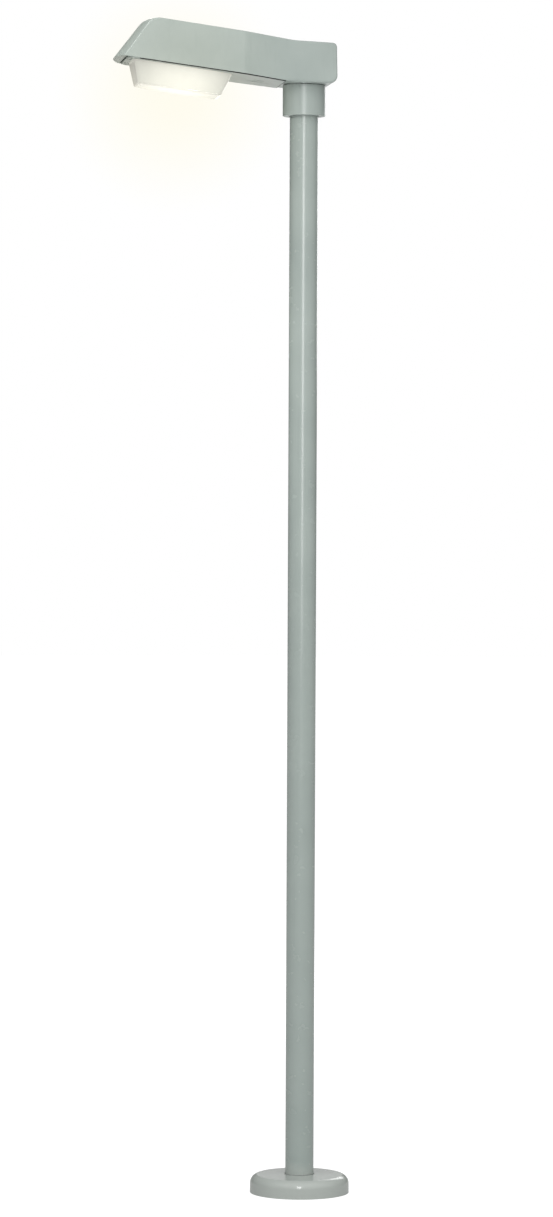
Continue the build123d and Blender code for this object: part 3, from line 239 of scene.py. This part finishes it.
# %% [markdown]
# The bowl is vacuum-formed opal acrylic. Its white filler scatters the lamp's light, so it glows
# most opposite the arc tube and falls off towards its ends and its rim. The glow here is worked
# out from the distance to the lamp, so it belongs to the bowl and not to a viewpoint. The
# outside stays glossy and catches the sky.
# %% Opal acrylic
bowl_low, bowl_high = (Vector(corner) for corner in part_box("lens"))
glow_centre = (bowl_low + bowl_high) / 2 + Vector((-0.004, 0, -0.02))
GLOW_REACH = (0.19, 0.24, 0.125)         # metres along, across and down
opal, tree, place = start_finish("vacuum-formed opal acrylic")
centred = put(tree, "ShaderNodeMapping", {
    "Vector": place, "Location": glow_centre, "Scale": GLOW_REACH}, vector_type="TEXTURE")
distance = put(tree, "ShaderNodeVectorMath", {0: centred.outputs["Vector"]}, operation="LENGTH")
mottled = put(tree, "ShaderNodeMath", {
    0: grain(tree, place, 45), 1: 0.12, 2: distance.outputs["Value"]}, operation="MULTIPLY_ADD")
glow = put(tree, "ShaderNodeMapRange", {
    "Value": mottled.outputs["Value"], "From Min": 0.4, "From Max": 1.2,
    "To Min": 0.72, "To Max": 0.34})
filler = tinted(tree, "#93958F", (grain(tree, place, 80), LOW, HIGH, 0, 1, "#9A9C96"))
end_finish(tree, {"Base Color": filler, "Roughness": 0.14, "IOR": 1.49,
                  "Emission Color": "#FFFDF6", "Emission Strength": glow.outputs["Result"]},
           grain(tree, place, 60, 1), 0.3, strength=0.3)
FINISHES["opal"] = opal
print("glow is centred at", tuple(round(v, 3) for v in glow_centre))

# %% [markdown]
# The reflector is bright anodised aluminium sheet, pressed with small round dimples that spread
# the arc's image. Rubber seals are black and dull, and moulded plastics have the fine spark-eroded
# grain of their mould.
# %% Sheet, rubber and mouldings
DIMPLE_MM = 11
sheet, tree, place = start_finish("dimpled anodised reflector sheet")
dimples = put(tree, "ShaderNodeTexVoronoi", {"Vector": place, "Scale": 1 / (DIMPLE_MM * MM)},
              feature="SMOOTH_F1").outputs["Distance"]
shine = put(tree, "ShaderNodeMapRange", {
    "Value": grain(tree, place, 40), **MIDDLE, "To Min": 0.12, "To Max": 0.22})
end_finish(tree, {"Base Color": tinted(tree, "#F0F1F2", (dimples, 0, 1, 0, 1, "#CFD2D4")),
                  "Roughness": shine.outputs["Result"], "Metallic": 1.0}, dimples, 1.2)
FINISHES["mirror_sheet"] = sheet


def moulded(name, light, dark, roughness, grain_mm, depth_mm, **extra):
    """A moulding or casting: two close tones, and the fine grain of its mould."""
    material, tree, place = start_finish(name)
    shine = put(tree, "ShaderNodeMapRange", {
        "Value": grain(tree, place, 12), **MIDDLE,
        "To Min": roughness - 0.06, "To Max": roughness + 0.06})
    tones = tinted(tree, dark, (grain(tree, place, 30, 4), LOW, HIGH, 0, 1, light))
    end_finish(tree, {"Base Color": tones, "Roughness": shine.outputs["Result"], **extra},
               grain(tree, place, grain_mm, 2), depth_mm)
    return material


for slot, *recipe in (
    ("rubber", "extruded black rubber", "#242424", "#171717", 0.72, 1.5, 0.1),
    ("cable_sheath", "rubber cable sheath", "#232323", "#151515", 0.6, 2, 0.15),
    ("black_plastic", "black moulded polyamide", "#2A2B2C", "#1D1E1F", 0.5, 1, 0.05),
    ("grey_plastic", "grey moulded polycarbonate", "#B3B6B7", "#A3A6A8", 0.42, 1.5, 0.06),
    ("white_plastic", "off-white moulded thermoset", "#DDDACE", "#CDC9BB", 0.4, 1.5, 0.05),
):
    FINISHES[slot] = moulded(*recipe)
FINISHES["porcelain"] = moulded("glazed porcelain", "#EEECE4", "#E2DFD4", 0.1, 18, 0.1,
                                **{"Coat Weight": 0.6, "Coat Roughness": 0.05})
FINISHES["bulb_glass"] = moulded("blown clear glass", "#FFFFFF", "#F4FAFA", 0.08, 40, 0.1,
                                 **{"Transmission Weight": 1.0, "IOR": 1.45})
FINISHES["arc_ceramic"] = moulded("glowing alumina arc tube", "#FFF4E0", "#FBE8CA", 0.3, 6, 0.05,
                                  **{"Emission Color": "#FFE3B0", "Emission Strength": 12.0})
print(len(FINISHES), "finishes")

# %% [markdown]
# Parts whose engineering shape is already right only need their finish. The record says which
# finish each one has.
# %% Dress the CAD parts
for name, piece in nodes.items():
    piece.data.materials.clear()
    piece.data.materials.append(FINISHES[slot_of[name]])
nodes["cover_seal"].data.materials[0] = moulded(
    "weathered grey rubber", "#7C817E", "#6A6F6C", 0.7, 1.5, 0.1)
print("dressed", len(nodes), "parts")

# %% [markdown]
# Nuts, bolt heads, cable glands and screw threads are all turned or hexagonal: their section is a
# few radii, one above the other. One function builds such a piece from rings. A ring may change
# its radius or height with the angle, which makes hexagons, sockets, ribs and threads.
# %% Turned pieces from rings
CREASE = math.radians(35)                # edges sharper than this stay sharp
CHAMFER = 0.475                          # the chamfer's circle, as a share of a hexagon's width
NUT_ACROSS, NUT_H, NUT_BORE_R = 30, 16, 10
BOLT_ACROSS, BOLT_HEAD_H, SHANK_R, SHANK_L = 13, 5.5, 3.9, 22.8


def add_object(name, data):
    """Adds an object with this mesh, light or camera to the scene."""
    thing = bpy.data.objects.new(name, data)
    bpy.context.scene.collection.objects.link(thing)
    return thing


def plain_mesh(name, shape):
    """Writes a bmesh to a new mesh."""
    mesh = bpy.data.meshes.new(name)
    shape.to_mesh(mesh)
    shape.free()
    return mesh


def smooth_mesh(name, shape):
    """Writes a bmesh to a new mesh, smooth except across its sharper edges."""
    for face in shape.faces:
        face.smooth = True
    for edge in shape.edges:
        edge.smooth = edge.calc_face_angle(0) < CREASE
    return plain_mesh(name, shape)


def turned(name, rings, segments=48, closed=False):
    """A mesh from rings, each a (radius, height) pair in mm or a function of the angle."""
    shape = bmesh.new()
    loops = []
    for ring in rings:
        loop = []
        for step in range(segments):
            angle = 2 * math.pi * step / segments
            radius, height = ring(angle) if callable(ring) else ring
            loop.append(shape.verts.new(
                (radius * MM * math.cos(angle), radius * MM * math.sin(angle), height * MM)))
        loops.append(loop)
    pairs = list(zip(loops, loops[1:]))
    if closed:
        pairs.append((loops[-1], loops[0]))
    for low, high in pairs:
        for i in range(segments):
            j = (i + 1) % segments
            shape.faces.new((low[i], low[j], high[j], high[i]))
    bmesh.ops.remove_doubles(shape, verts=shape.verts, dist=1e-7)
    bmesh.ops.recalc_face_normals(shape, faces=shape.faces)
    return smooth_mesh(name, shape)


def hexagon(across, angle):
    """Radius of a hexagon of this width across flats, at an angle."""
    return across / 2 / math.cos(angle % (math.pi / 3) - math.pi / 6)


def hex_side(across, height, bevel):
    """A hexagon's edge at a height; bevel is 1 below a turned chamfer, -1 above one, else 0."""
    def ring(angle):
        radius = hexagon(across, angle)
        return radius, height - bevel * (radius - CHAMFER * across) * math.tan(math.radians(30))
    return ring


anchor_nut = turned("anchor_nut", [
    (NUT_BORE_R, 0), (CHAMFER * NUT_ACROSS, 0), hex_side(NUT_ACROSS, 0, -1),
    hex_side(NUT_ACROSS, NUT_H, 1), (CHAMFER * NUT_ACROSS, NUT_H), (NUT_BORE_R + 1, NUT_H),
    (NUT_BORE_R, NUT_H - 1)], closed=True)
washer = turned("washer", [(10.5, 0), (18, 0), (18.5, 0.5), (18.5, 2.5), (18, 3), (10.5, 3)],
                closed=True)
hex_bolt = turned("hex_bolt", [
    (0, -SHANK_L), (SHANK_R - 0.4, -SHANK_L), (SHANK_R, 0.5 - SHANK_L), (SHANK_R, 0),
    (CHAMFER * BOLT_ACROSS, 0), hex_side(BOLT_ACROSS, 0.2, 0),
    hex_side(BOLT_ACROSS, BOLT_HEAD_H, 1), (CHAMFER * BOLT_ACROSS, BOLT_HEAD_H),
    (0, BOLT_HEAD_H)])
print("nut", len(anchor_nut.vertices), "washer", len(washer.vertices), "bolt", len(hex_bolt.vertices))

# %% [markdown]
# A socket is a hexagonal or six-lobed hole in the end of a screw. The rim of the hole follows the
# key's shape and its floor lies a few millimetres lower.
# %% Socket screws and gland
KEY_ACROSS = 5
GRUB_L = 26.6
CLIP_HEAD_W, CLIP_HEAD_H = 8, 2
GLAND_W, GLAND_H = 18, 16


def key_hole(height):
    """A ring of the hole for a hexagonal key."""
    return lambda angle: (hexagon(KEY_ACROSS, angle), height)


def lobed(radius, lobes, rise, height):
    """A ring with this many lobes, each rising above the radius."""
    return lambda angle: (radius + rise * math.cos(lobes * angle), height)


grub_screw = turned("grub_screw", [
    (0, 0), (3, 0), (4.9, 2), (4.9, GRUB_L - 0.4), (4.4, GRUB_L), key_hole(GRUB_L), key_hole(22),
    (0, 21)])
clip_screw = turned("clip_screw", [
    (0, -3), (1.9, -3), (1.9, 0), (CLIP_HEAD_W / 2, 0), (CLIP_HEAD_W / 2, 0.9), (3.5, 1.6),
    (2.4, 1.95), lobed(1.5, 6, 0.21, CLIP_HEAD_H), lobed(1.4, 6, 0.196, 0.9), (0, 0.7)])
gland = turned("gland", [
    (4.2, 0), (GLAND_W / 2, 0), (GLAND_W / 2, 3), hex_side(17, 3.2, 0), hex_side(17, 8, 1),
    (7.9, 8.2), lobed(7.8, 12, 0.5, 9), lobed(7.6, 12, 0.5, 13), (6.6, 15.2), (5.2, GLAND_H),
    (4.2, GLAND_H)], closed=True)
print("screws and gland made")

# %% [markdown]
# The lamp screws into its holder with a rolled brass thread: the sheet bulges out and in along a
# helix, 3.6 mm from turn to turn. The radius follows a sine of the height minus the angle.
# %% Rolled thread of the lamp cap
THREAD_LOW, THREAD_TOP = 4, 22
THREAD_PITCH = 3.6
RING_STEP = 0.6


def thread_ring(height):
    """One ring of the rolled thread; the helix fades out at both ends of the cap."""
    fade = min(1, (height - THREAD_LOW) / 3, (THREAD_TOP - height) / 3)
    turn = 2 * math.pi * height / THREAD_PITCH
    return lambda angle: (12.2 + 0.7 * fade * math.sin(turn - angle), height)


thread_steps = round((THREAD_TOP - THREAD_LOW) / RING_STEP) + 1
cap_rings = [(0, 0), (4, 0), (5, 0.6), (10.5, 3)]
cap_rings += [thread_ring(THREAD_LOW + RING_STEP * step) for step in range(thread_steps)]
cap_rings += [(12.9, 23), (13, 30), (0, 30)]
lamp_cap = turned("lamp_cap", cap_rings, segments=60)
print("lamp cap has", len(lamp_cap.vertices), "points")

# %% [markdown]
# The ballast's core is a stack of thin varnished steel sheets, pressed together round a wound
# coil whose taped ends stand out of the stack. One sheet is a plate with a notch at each corner,
# where the clamping straps run. The stack itself is made further down by repeating it.
# %% One core sheet and the coil
SHEET_W, SHEET_H, SHEET_T = 68, 54, 1.7
NOTCH, NOTCH_STEP = 7, 3
shape = bmesh.new()
outline = []
for side_x, side_y in ((1, 1), (-1, 1), (-1, -1), (1, -1)):
    corner = [(0, -NOTCH), (-NOTCH_STEP, -NOTCH), (-NOTCH_STEP, -NOTCH_STEP), (-NOTCH, -NOTCH_STEP),
              (-NOTCH, 0)]
    if side_x * side_y < 0:
        corner.reverse()
    outline += [(side_x * (SHEET_W / 2 + dx), side_y * (SHEET_H / 2 + dy)) for dx, dy in corner]
face = shape.faces.new([shape.verts.new((0, x * MM, y * MM)) for x, y in outline])
grown = bmesh.ops.extrude_face_region(shape, geom=[face])
bmesh.ops.translate(shape, vec=(SHEET_T * MM, 0, 0),
                    verts=[v for v in grown["geom"] if isinstance(v, bmesh.types.BMVert)])
bmesh.ops.recalc_face_normals(shape, faces=shape.faces)
core_sheet = smooth_mesh("core_sheet", shape)


def soft_block(name, length, width, height, edge, place):
    """A box with its edges rounded, standing in a place given by a matrix; sizes in mm."""
    block = bmesh.new()
    bmesh.ops.create_cube(block, size=1, matrix=Matrix.Diagonal(
        (length * MM, width * MM, height * MM, 1)))
    bmesh.ops.bevel(block, geom=block.edges[:], offset=edge * MM, segments=4, profile=0.5,
                    affect="EDGES")
    block.transform(place)
    return smooth_mesh(name, block)


print("core sheet has", len(core_sheet.polygons), "faces")

# %% [markdown]
# Geometry Nodes repeats each of these pieces. Three small trees are enough: copies round a circle,
# copies in rows on a plane, and copies that point away from the column's axis. Each tree takes the
# one piece as its geometry and the rest as named inputs.
# %% Trees that repeat a piece


def new_tree(name, sizes):
    """A Geometry Nodes tree with these named inputs; returns it and its input sockets."""
    tree = bpy.data.node_groups.new(name, "GeometryNodeTree")
    tree.interface.new_socket("Piece", in_out="INPUT", socket_type="NodeSocketGeometry")
    for label, kind in sizes.items():
        tree.interface.new_socket(label, in_out="INPUT", socket_type="NodeSocket" + kind)
    tree.interface.new_socket("Finish", in_out="INPUT", socket_type="NodeSocketMaterial")
    tree.interface.new_socket("Result", in_out="OUTPUT", socket_type="NodeSocketGeometry")
    return tree, put(tree, "NodeGroupInput").outputs


def end_tree(tree, given, placed):
    """Ends a tree: real copies, their finish, and the output."""
    real = put(tree, "GeometryNodeRealizeInstances", {"Geometry": placed})
    coated = put(tree, "GeometryNodeSetMaterial", {
        "Geometry": real.outputs["Geometry"], "Material": given["Finish"]})
    put(tree, "NodeGroupOutput", {"Result": coated.outputs["Geometry"]})


around, given = new_tree("repeat round a circle", {
    "Count": "Int", "Circle radius": "Float", "First angle": "Float", "Centre": "Vector"})
circle = put(around, "GeometryNodeMeshCircle", {
    "Vertices": given["Count"], "Radius": given["Circle radius"]})
copies = put(around, "GeometryNodeInstanceOnPoints", {
    "Points": circle.outputs["Mesh"], "Instance": given["Piece"]})
first = put(around, "ShaderNodeCombineXYZ", {"Z": given["First angle"]})
turned_round = put(around, "GeometryNodeTransform", {
    "Geometry": copies.outputs["Instances"], "Translation": given["Centre"],
    "Rotation": first.outputs["Vector"]})
end_tree(around, given, turned_round.outputs["Geometry"])

GRID_SIZES = {"Columns": "Int", "Rows": "Int", "Length": "Float", "Width": "Float",
              "Centre": "Vector"}
rows, given = new_tree("repeat in rows", {
    **GRID_SIZES, "Plane turn": "Rotation", "Piece turn": "Rotation"})
grid = put(rows, "GeometryNodeMeshGrid", {
    "Vertices X": given["Columns"], "Vertices Y": given["Rows"], "Size X": given["Length"],
    "Size Y": given["Width"]})
copies = put(rows, "GeometryNodeInstanceOnPoints", {
    "Points": grid.outputs["Mesh"], "Instance": given["Piece"], "Rotation": given["Piece turn"]})
turned_rows = put(rows, "GeometryNodeTransform", {
    "Geometry": copies.outputs["Instances"], "Translation": given["Centre"],
    "Rotation": given["Plane turn"]})
end_tree(rows, given, turned_rows.outputs["Geometry"])

outwards, given = new_tree("repeat pointing outwards", GRID_SIZES)
grid = put(outwards, "GeometryNodeMeshGrid", {
    "Vertices X": given["Columns"], "Vertices Y": given["Rows"], "Size X": given["Length"],
    "Size Y": given["Width"]})
upright = put(outwards, "GeometryNodeTransform", {
    "Geometry": grid.outputs["Mesh"], "Translation": given["Centre"],
    "Rotation": (math.pi / 2, 0, 0)})
spot = put(outwards, "GeometryNodeInputPosition").outputs["Position"]
level = put(outwards, "ShaderNodeVectorMath", {0: spot, 1: (1, 1, 0)}, operation="MULTIPLY")
away = put(outwards, "FunctionNodeAlignRotationToVector", {"Vector": level.outputs["Vector"]},
           axis="Z")
copies = put(outwards, "GeometryNodeInstanceOnPoints", {
    "Points": upright.outputs["Geometry"], "Instance": given["Piece"],
    "Rotation": away.outputs["Rotation"]})
end_tree(outwards, given, copies.outputs["Instances"])
print("trees:", around.name, "/", rows.name, "/", outwards.name)

# %% [markdown]
# Each tree runs once on a holder and its result is kept as a plain mesh. A finished piece rides on
# the body of the CAD part that it stands for, and takes that part's place.
# %% Run a tree and keep its result
body_of = {part: body for body, parts in frame["record"]["behaviour"]["bodies"].items()
           for part in parts}


def repeated(piece_mesh, tree, finish, **sizes):
    """Runs a tree on one piece's mesh and returns the plain mesh of all its copies."""
    holder = add_object("holder", piece_mesh)
    modifier = holder.modifiers.new("repeat", "NODES")
    modifier.node_group = tree
    sizes["Finish"] = FINISHES[finish]
    for item in tree.interface.items_tree:
        label = item.name.replace(" ", "_")
        if item.in_out == "INPUT" and label in sizes:
            modifier[item.identifier] = sizes[label]
    whole = bpy.data.meshes.new_from_object(
        holder.evaluated_get(bpy.context.evaluated_depsgraph_get()))
    bpy.data.objects.remove(holder)
    return whole


def settle(name, meshes, body, finish):
    """Joins meshes into one finished piece that rides on a body."""
    shape = bmesh.new()
    for mesh in meshes:
        shape.from_mesh(mesh)
    whole = plain_mesh(name, shape)
    for face in whole.polygons:
        face.material_index = 0
    whole.materials.append(FINISHES[finish])
    piece = add_object(name, whole)
    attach(piece, body)
    print(name, "has", len(whole.polygons), "faces")
    return piece


def stand_in(name, node, *meshes):
    """A finished piece that takes the place of a CAD node, on its body and in its finish."""
    piece = settle(name, meshes, body_of[node], slot_of[node])
    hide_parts(node)


print("bodies:", sorted(set(body_of.values())))

# %% [markdown]
# The four foundation nuts and washers stand on a 280 mm circle, and four bolts hold the head's
# floor to the collar. Their heights come from the CAD parts that they stand for. The column is
# welded to its base plate: the welder's torch leaves a bead of overlapping ripples, made here as
# flattened drops set closely round the column.
# %% Nuts, washers, bolts and the weld
QUARTER = math.pi / 4
FOUNDATION_R = 140
COLLAR_BOLTS_R = 66
WELD_R = 59
WELD_DROP = (4.5, 2.6, 4.5)              # half sizes along X, Y and Z
WELD_RISE = 1.2


def base_of(node):
    """Height of a node's lowest point."""
    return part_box(node)[0][2]


bolt_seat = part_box("collar_bolts")[1][2] - BOLT_HEAD_H * MM
for name, one, node, circle_mm, height in (
    ("foundation_nuts", anchor_nut, "anchor_nuts", FOUNDATION_R, base_of("anchor_nuts")),
    ("foundation_washers", washer, "anchor_washers", FOUNDATION_R, base_of("anchor_washers")),
    ("head_bolts", hex_bolt, "collar_bolts", COLLAR_BOLTS_R, bolt_seat),
):
    stand_in(name, node, repeated(
        one, around, slot_of[node], Count=4, Circle_radius=circle_mm * MM, First_angle=QUARTER,
        Centre=(0.0, 0.0, height)))

shape = bmesh.new()
bmesh.ops.create_icosphere(shape, subdivisions=2, radius=1, matrix=Matrix.Diagonal(
    (*(half * MM for half in WELD_DROP), 1)))
weld_drop = smooth_mesh("weld_drop", shape)
settle("base_weld", [repeated(
    weld_drop, around, "galvanised", Count=150, Circle_radius=WELD_R * MM, First_angle=0.0,
    Centre=(0.0, 0.0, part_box("base_plate")[1][2] + WELD_RISE * MM))], "post", "galvanised")

# %% [markdown]
# The collar's set screws point at the column's axis from two sides at two heights, and the cable
# glands stand on the fuse box above and hang from it below.
# %% Set screws and glands
GRUB_W = 10
SCREW_TIP_R = 57.35
screw_low, screw_high = (Vector(corner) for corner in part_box("collar_set_screws"))
tip = SCREW_TIP_R * math.cos(QUARTER) * MM
stand_in("collar_grub_screws", "collar_set_screws", repeated(
    grub_screw, outwards, slot_of["collar_set_screws"], Columns=2, Rows=2, Length=2 * tip,
    Width=screw_high.z - screw_low.z - GRUB_W * MM,
    Centre=(0.0, tip, (screw_low.z + screw_high.z) / 2)))

gland_low, gland_high = (Vector(corner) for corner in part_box("cable_glands"))
upper = repeated(gland, rows, slot_of["cable_glands"], Columns=1, Rows=1, Length=0.0, Width=0.0,
                 Centre=(0.0, 0.0, gland_high.z - GLAND_H * MM))
lower = repeated(gland, rows, slot_of["cable_glands"], Columns=2, Rows=1,
                 Length=gland_high.x - gland_low.x - GLAND_W * MM, Width=0.0,
                 Centre=(0.0, 0.0, gland_low.z + GLAND_H * MM), Piece_turn=(math.pi, 0.0, 0.0))
stand_in("ribbed_cable_glands", "cable_glands", upper, lower)

# %% [markdown]
# The bowl, its clips, the gear tray and the lamp all stand square to the head's sloping rim. The
# catch turns about that slope's normal, so its joint gives the slope. Measured along the slope, a
# node's box is as tight as on a drawing.
# %% The head's slope
catch = [j for j in frame["record"]["behaviour"]["joints"] if j["name"] == "catch_turn"][0]
slope_angle = math.asin(-catch["axis"][0])
slope = Matrix.Rotation(slope_angle, 4, "Y")


def slope_box(node):
    """A node's lowest and highest corners, measured along the head's slope."""
    back = slope.inverted()
    corners = [back @ v.co for v in nodes[node].data.vertices]
    return [Vector([pick(c[i] for c in corners) for i in range(3)]) for pick in (min, max)]


print("the head slopes by", round(math.degrees(slope_angle), 2), "degrees")

# %% [markdown]
# Six screws hold the bowl's clips, in two rows. The ballast is its stack of sheets, the coil that
# stands out of both ends, and one strap over the top, which the stack leaves room for.
# %% Clip screws and ballast
STACK_L = 88
COIL = (111, 48, 36)
STRAP = (148, 46, 2)
low, high = slope_box("clip_screws")
seat = Vector(((low.x + high.x) / 2, 0, high.z - CLIP_HEAD_H * MM))
stand_in("lobed_clip_screws", "clip_screws", repeated(
    clip_screw, rows, slot_of["clip_screws"], Columns=3, Rows=2,
    Length=high.x - low.x - CLIP_HEAD_W * MM, Width=high.y - low.y - CLIP_HEAD_W * MM,
    Centre=slope @ seat, Plane_turn=(0.0, slope_angle, 0.0)))

low, high = slope_box("ballast")
middle = (low + high) / 2
half_strap = STRAP[2] / 2 * MM
core = Vector((middle.x - SHEET_T * MM / 2, middle.y, middle.z - half_strap))
stack = repeated(core_sheet, rows, slot_of["ballast"], Columns=40, Rows=1, Length=STACK_L * MM,
                 Width=0.0, Centre=slope @ core, Plane_turn=(0.0, slope_angle, 0.0))
coil = soft_block("coil", *COIL, 8, slope @ Matrix.Translation((middle.x, middle.y, core.z)))
strap = soft_block("strap", *STRAP, 0.6, slope @ Matrix.Translation(
    (middle.x, middle.y, high.z - half_strap)))
stand_in("laminated_ballast", "ballast", stack, coil, strap)

# %% [markdown]
# The lamp's cap is one piece on the lamp's own axis, which runs along the slope towards the nose.
# %% Lamp cap
low, high = slope_box("lamp_cap")
axis_end = Vector((high.x, (low.y + high.y) / 2, (low.z + high.z) / 2))
lamp_cap.transform(slope @ Matrix.Translation(axis_end) @ Matrix.Rotation(-math.pi / 2, 4, "Y"))
stand_in("threaded_lamp_cap", "lamp_cap", lamp_cap)

# %% [markdown]
# The studio is a white floor that runs into a white surround. Where the camera sees the floor it
# glows about as brightly as the surround, so that no line shows between them, and it lights the
# lamp post from below only a little.
# %% Floor
FLOOR_R = 60
shape = bmesh.new()
bmesh.ops.create_circle(shape, cap_ends=True, segments=96, radius=FLOOR_R)
floor = add_object("studio_floor", plain_mesh("studio_floor", shape))
floor.location.z = -1 * MM
material, tree, place = start_finish("matt white studio floor")
seen_floor = put(tree, "ShaderNodeLightPath").outputs["Is Camera Ray"]
floor_glow = put(tree, "ShaderNodeMapRange", {"Value": seen_floor, "To Min": 0.24, "To Max": 0.8})
matt = put(tree, "ShaderNodeBsdfPrincipled", {
    "Base Color": tinted(tree, "#9C9C9C", (grain(tree, place, 900), LOW, HIGH, 0, 1, "#A2A2A2")),
    "Roughness": 0.9, "Specular IOR Level": 0.0, "Emission Color": "#FFFFFF",
    "Emission Strength": floor_glow.outputs["Result"]})
put(tree, "ShaderNodeOutputMaterial", {"Surface": matt.outputs["BSDF"]})
floor.data.materials.append(material)
print("floor of radius", FLOOR_R)

# %% [markdown]
# The surround is plain white where the camera looks at it. Where it lights the paint it is graded:
# bright overhead and on the camera's side, and dim at the level sides and behind.
# %% Surround
world = bpy.data.worlds.new("white studio")
bpy.context.scene.world = world
world.use_nodes = True
tree = world.node_tree
tree.nodes.clear()
ray = put(tree, "ShaderNodeLightPath")
direction = put(tree, "ShaderNodeTexCoord").outputs["Generated"]
parts = put(tree, "ShaderNodeSeparateXYZ", {"Vector": direction})
overhead = put(tree, "ShaderNodeMapRange", {
    "Value": parts.outputs["Z"], "From Min": 0.1, "From Max": 1.0, "To Min": 0.42, "To Max": 2.4})
ahead = put(tree, "ShaderNodeMapRange", {
    "Value": parts.outputs["Y"], "From Min": -0.95, "From Max": 0.2,
    "To Min": 1.06, "To Max": 0.22})
graded = put(tree, "ShaderNodeMath", {
    0: overhead.outputs["Result"], 1: ahead.outputs["Result"]}, operation="MULTIPLY")
lighting = put(tree, "ShaderNodeBackground", {
    "Color": "#FFFFFF", "Strength": graded.outputs["Value"]})
seen = put(tree, "ShaderNodeBackground", {"Color": "#FFFFFF", "Strength": 1.0})
mixed = put(tree, "ShaderNodeMixShader", {
    "Fac": ray.outputs["Is Camera Ray"], 1: lighting.outputs["Background"],
    2: seen.outputs["Background"]})
put(tree, "ShaderNodeOutputWorld", {"Surface": mixed.outputs["Shader"]})
print("surround:", world.name)

# %% [markdown]
# One tall soft light on the camera's side draws the narrow highlight down the column. Dimmer ones
# fill the head and the right side, and small ones with a narrow spread lift the nose and the
# underside of the head. A broad one behind brightens the edges, and a low one behind puts the
# glint on the foot cover.
# %% Lights


def soft_light(name, place, target, size, power, spread_degrees=180):
    """A rectangular softbox, aimed at a point; a grid on it narrows its spread."""
    data = bpy.data.lights.new(name, "AREA")
    data.shape = "RECTANGLE"
    data.size, data.size_y = size
    data.energy = power
    data.spread = math.radians(spread_degrees)
    light = add_object(name, data)
    light.location = place
    light.rotation_mode = "QUATERNION"
    light.rotation_quaternion = (Vector(target) - Vector(place)).to_track_quat("-Z", "Y")
    light.visible_camera = False


soft_light("key", (-1.25, -8.9, 4.9), (0, 0, 3.8), (1.2, 5.0), 300)
soft_light("head_fill", (-3.8, -2.5, 5.9), (-0.5, 0, 4.6), (1.6, 1.2), 32)
soft_light("nose", (-3.0, 0.8, 8.0), (-0.78, 0.05, 4.66), (0.8, 0.8), 0.95, spread_degrees=10)
soft_light("under_head", (-0.35, -0.75, 0.5), (-0.3, 0, 4.5), (0.4, 0.3), 0.6, spread_degrees=22)
soft_light("fill_right", (9.0, -3.0, 4.0), (0, 0, 2.5), (5.0, 6.0), 12)
soft_light("back", (3.0, 9.0, 6.0), (0, 0, 2.5), (7.0, 5.0), 300)
soft_light("foot_glint", (1.25, 9.0, 1.5), (0, 0, 0.1), (2.4, 1.8), 6)
print(len(bpy.data.lights), "softboxes")

# %% [markdown]
# The lit lamp has a warm glow round it. A ball of very thin volume that absorbs blue paints that
# glow as a yellow tint on whatever lies behind it, from every side alike: it is painted glow. It
# is scenery, like the floor, but it hangs on the bowl so that the glow goes where the lamp goes.
# %% Painted glow round the bowl
GLOW_BALL_R = 0.5
GLOW_BALL_DENSITY = 0.26
glow_ball_centre = (bowl_low + bowl_high) / 2 + Vector((-0.02, 0, -0.06))
shape = bmesh.new()
bmesh.ops.create_icosphere(shape, subdivisions=4, radius=GLOW_BALL_R,
                           matrix=Matrix.Translation(glow_ball_centre))
painted_glow = add_object("warm_haze", plain_mesh("warm_haze", shape))
glow_tint, tree, place = start_finish("thin warm haze")
from_centre = put(tree, "ShaderNodeVectorMath", {0: place, 1: glow_ball_centre}, operation="DISTANCE")
density = put(tree, "ShaderNodeMapRange", {
    "Value": from_centre.outputs["Value"], "From Min": 0.25 * GLOW_BALL_R, "From Max": GLOW_BALL_R,
    "To Min": GLOW_BALL_DENSITY, "To Max": 0.0})
# painted glow: the ball tints whatever lies behind it yellow
absorbing = put(tree, "ShaderNodeVolumeAbsorption", {
    "Color": "#FFED59", "Density": density.outputs["Result"]})
put(tree, "ShaderNodeOutputMaterial", {"Volume": absorbing.outputs["Volume"]})
painted_glow.data.materials.append(glow_tint)
painted_glow.parent = nodes["lens"]
print("haze ball of radius", GLOW_BALL_R)

# %% [markdown]
# The camera stands 17 m away and 2.8 m up, with a long lens, so that the column hardly tapers. It
# is aimed a little left of the column and rolled by a quarter of a degree.
# %% Camera
CAMERA_AZIMUTH = math.radians(-8.0)
CAMERA_DISTANCE = 17.396
CAMERA_HEIGHT = 2.799
CAMERA_YAW = math.radians(-0.337)
CAMERA_PITCH = math.radians(-1.432)
CAMERA_ROLL = math.radians(0.245)
FOCAL_MM = 127.44
up = Vector((0, 0, 1))
to_column = Vector((-math.sin(CAMERA_AZIMUTH), math.cos(CAMERA_AZIMUTH), 0))
level_right = to_column.cross(up)
aim = to_column * math.cos(CAMERA_YAW) + level_right * math.sin(CAMERA_YAW)
right = aim.cross(up).normalized()
aim = aim * math.cos(CAMERA_PITCH) + up * math.sin(CAMERA_PITCH)
top = right.cross(aim)
rolled_right = right * math.cos(CAMERA_ROLL) + top * math.sin(CAMERA_ROLL)
rolled_top = top * math.cos(CAMERA_ROLL) - right * math.sin(CAMERA_ROLL)
camera_data = bpy.data.cameras.new("camera")
camera_data.lens = FOCAL_MM
camera_data.sensor_width = 36
camera_data.clip_end = 200
camera = add_object("camera", camera_data)
turn = Matrix((rolled_right, rolled_top, -aim)).transposed().to_4x4()
stand = -to_column * CAMERA_DISTANCE + up * CAMERA_HEIGHT
camera.matrix_world = Matrix.Translation(stand) @ turn
bpy.context.scene.camera = camera
bpy.context.scene.view_settings.view_transform = "Standard"
print("camera at", tuple(round(v, 3) for v in stand))
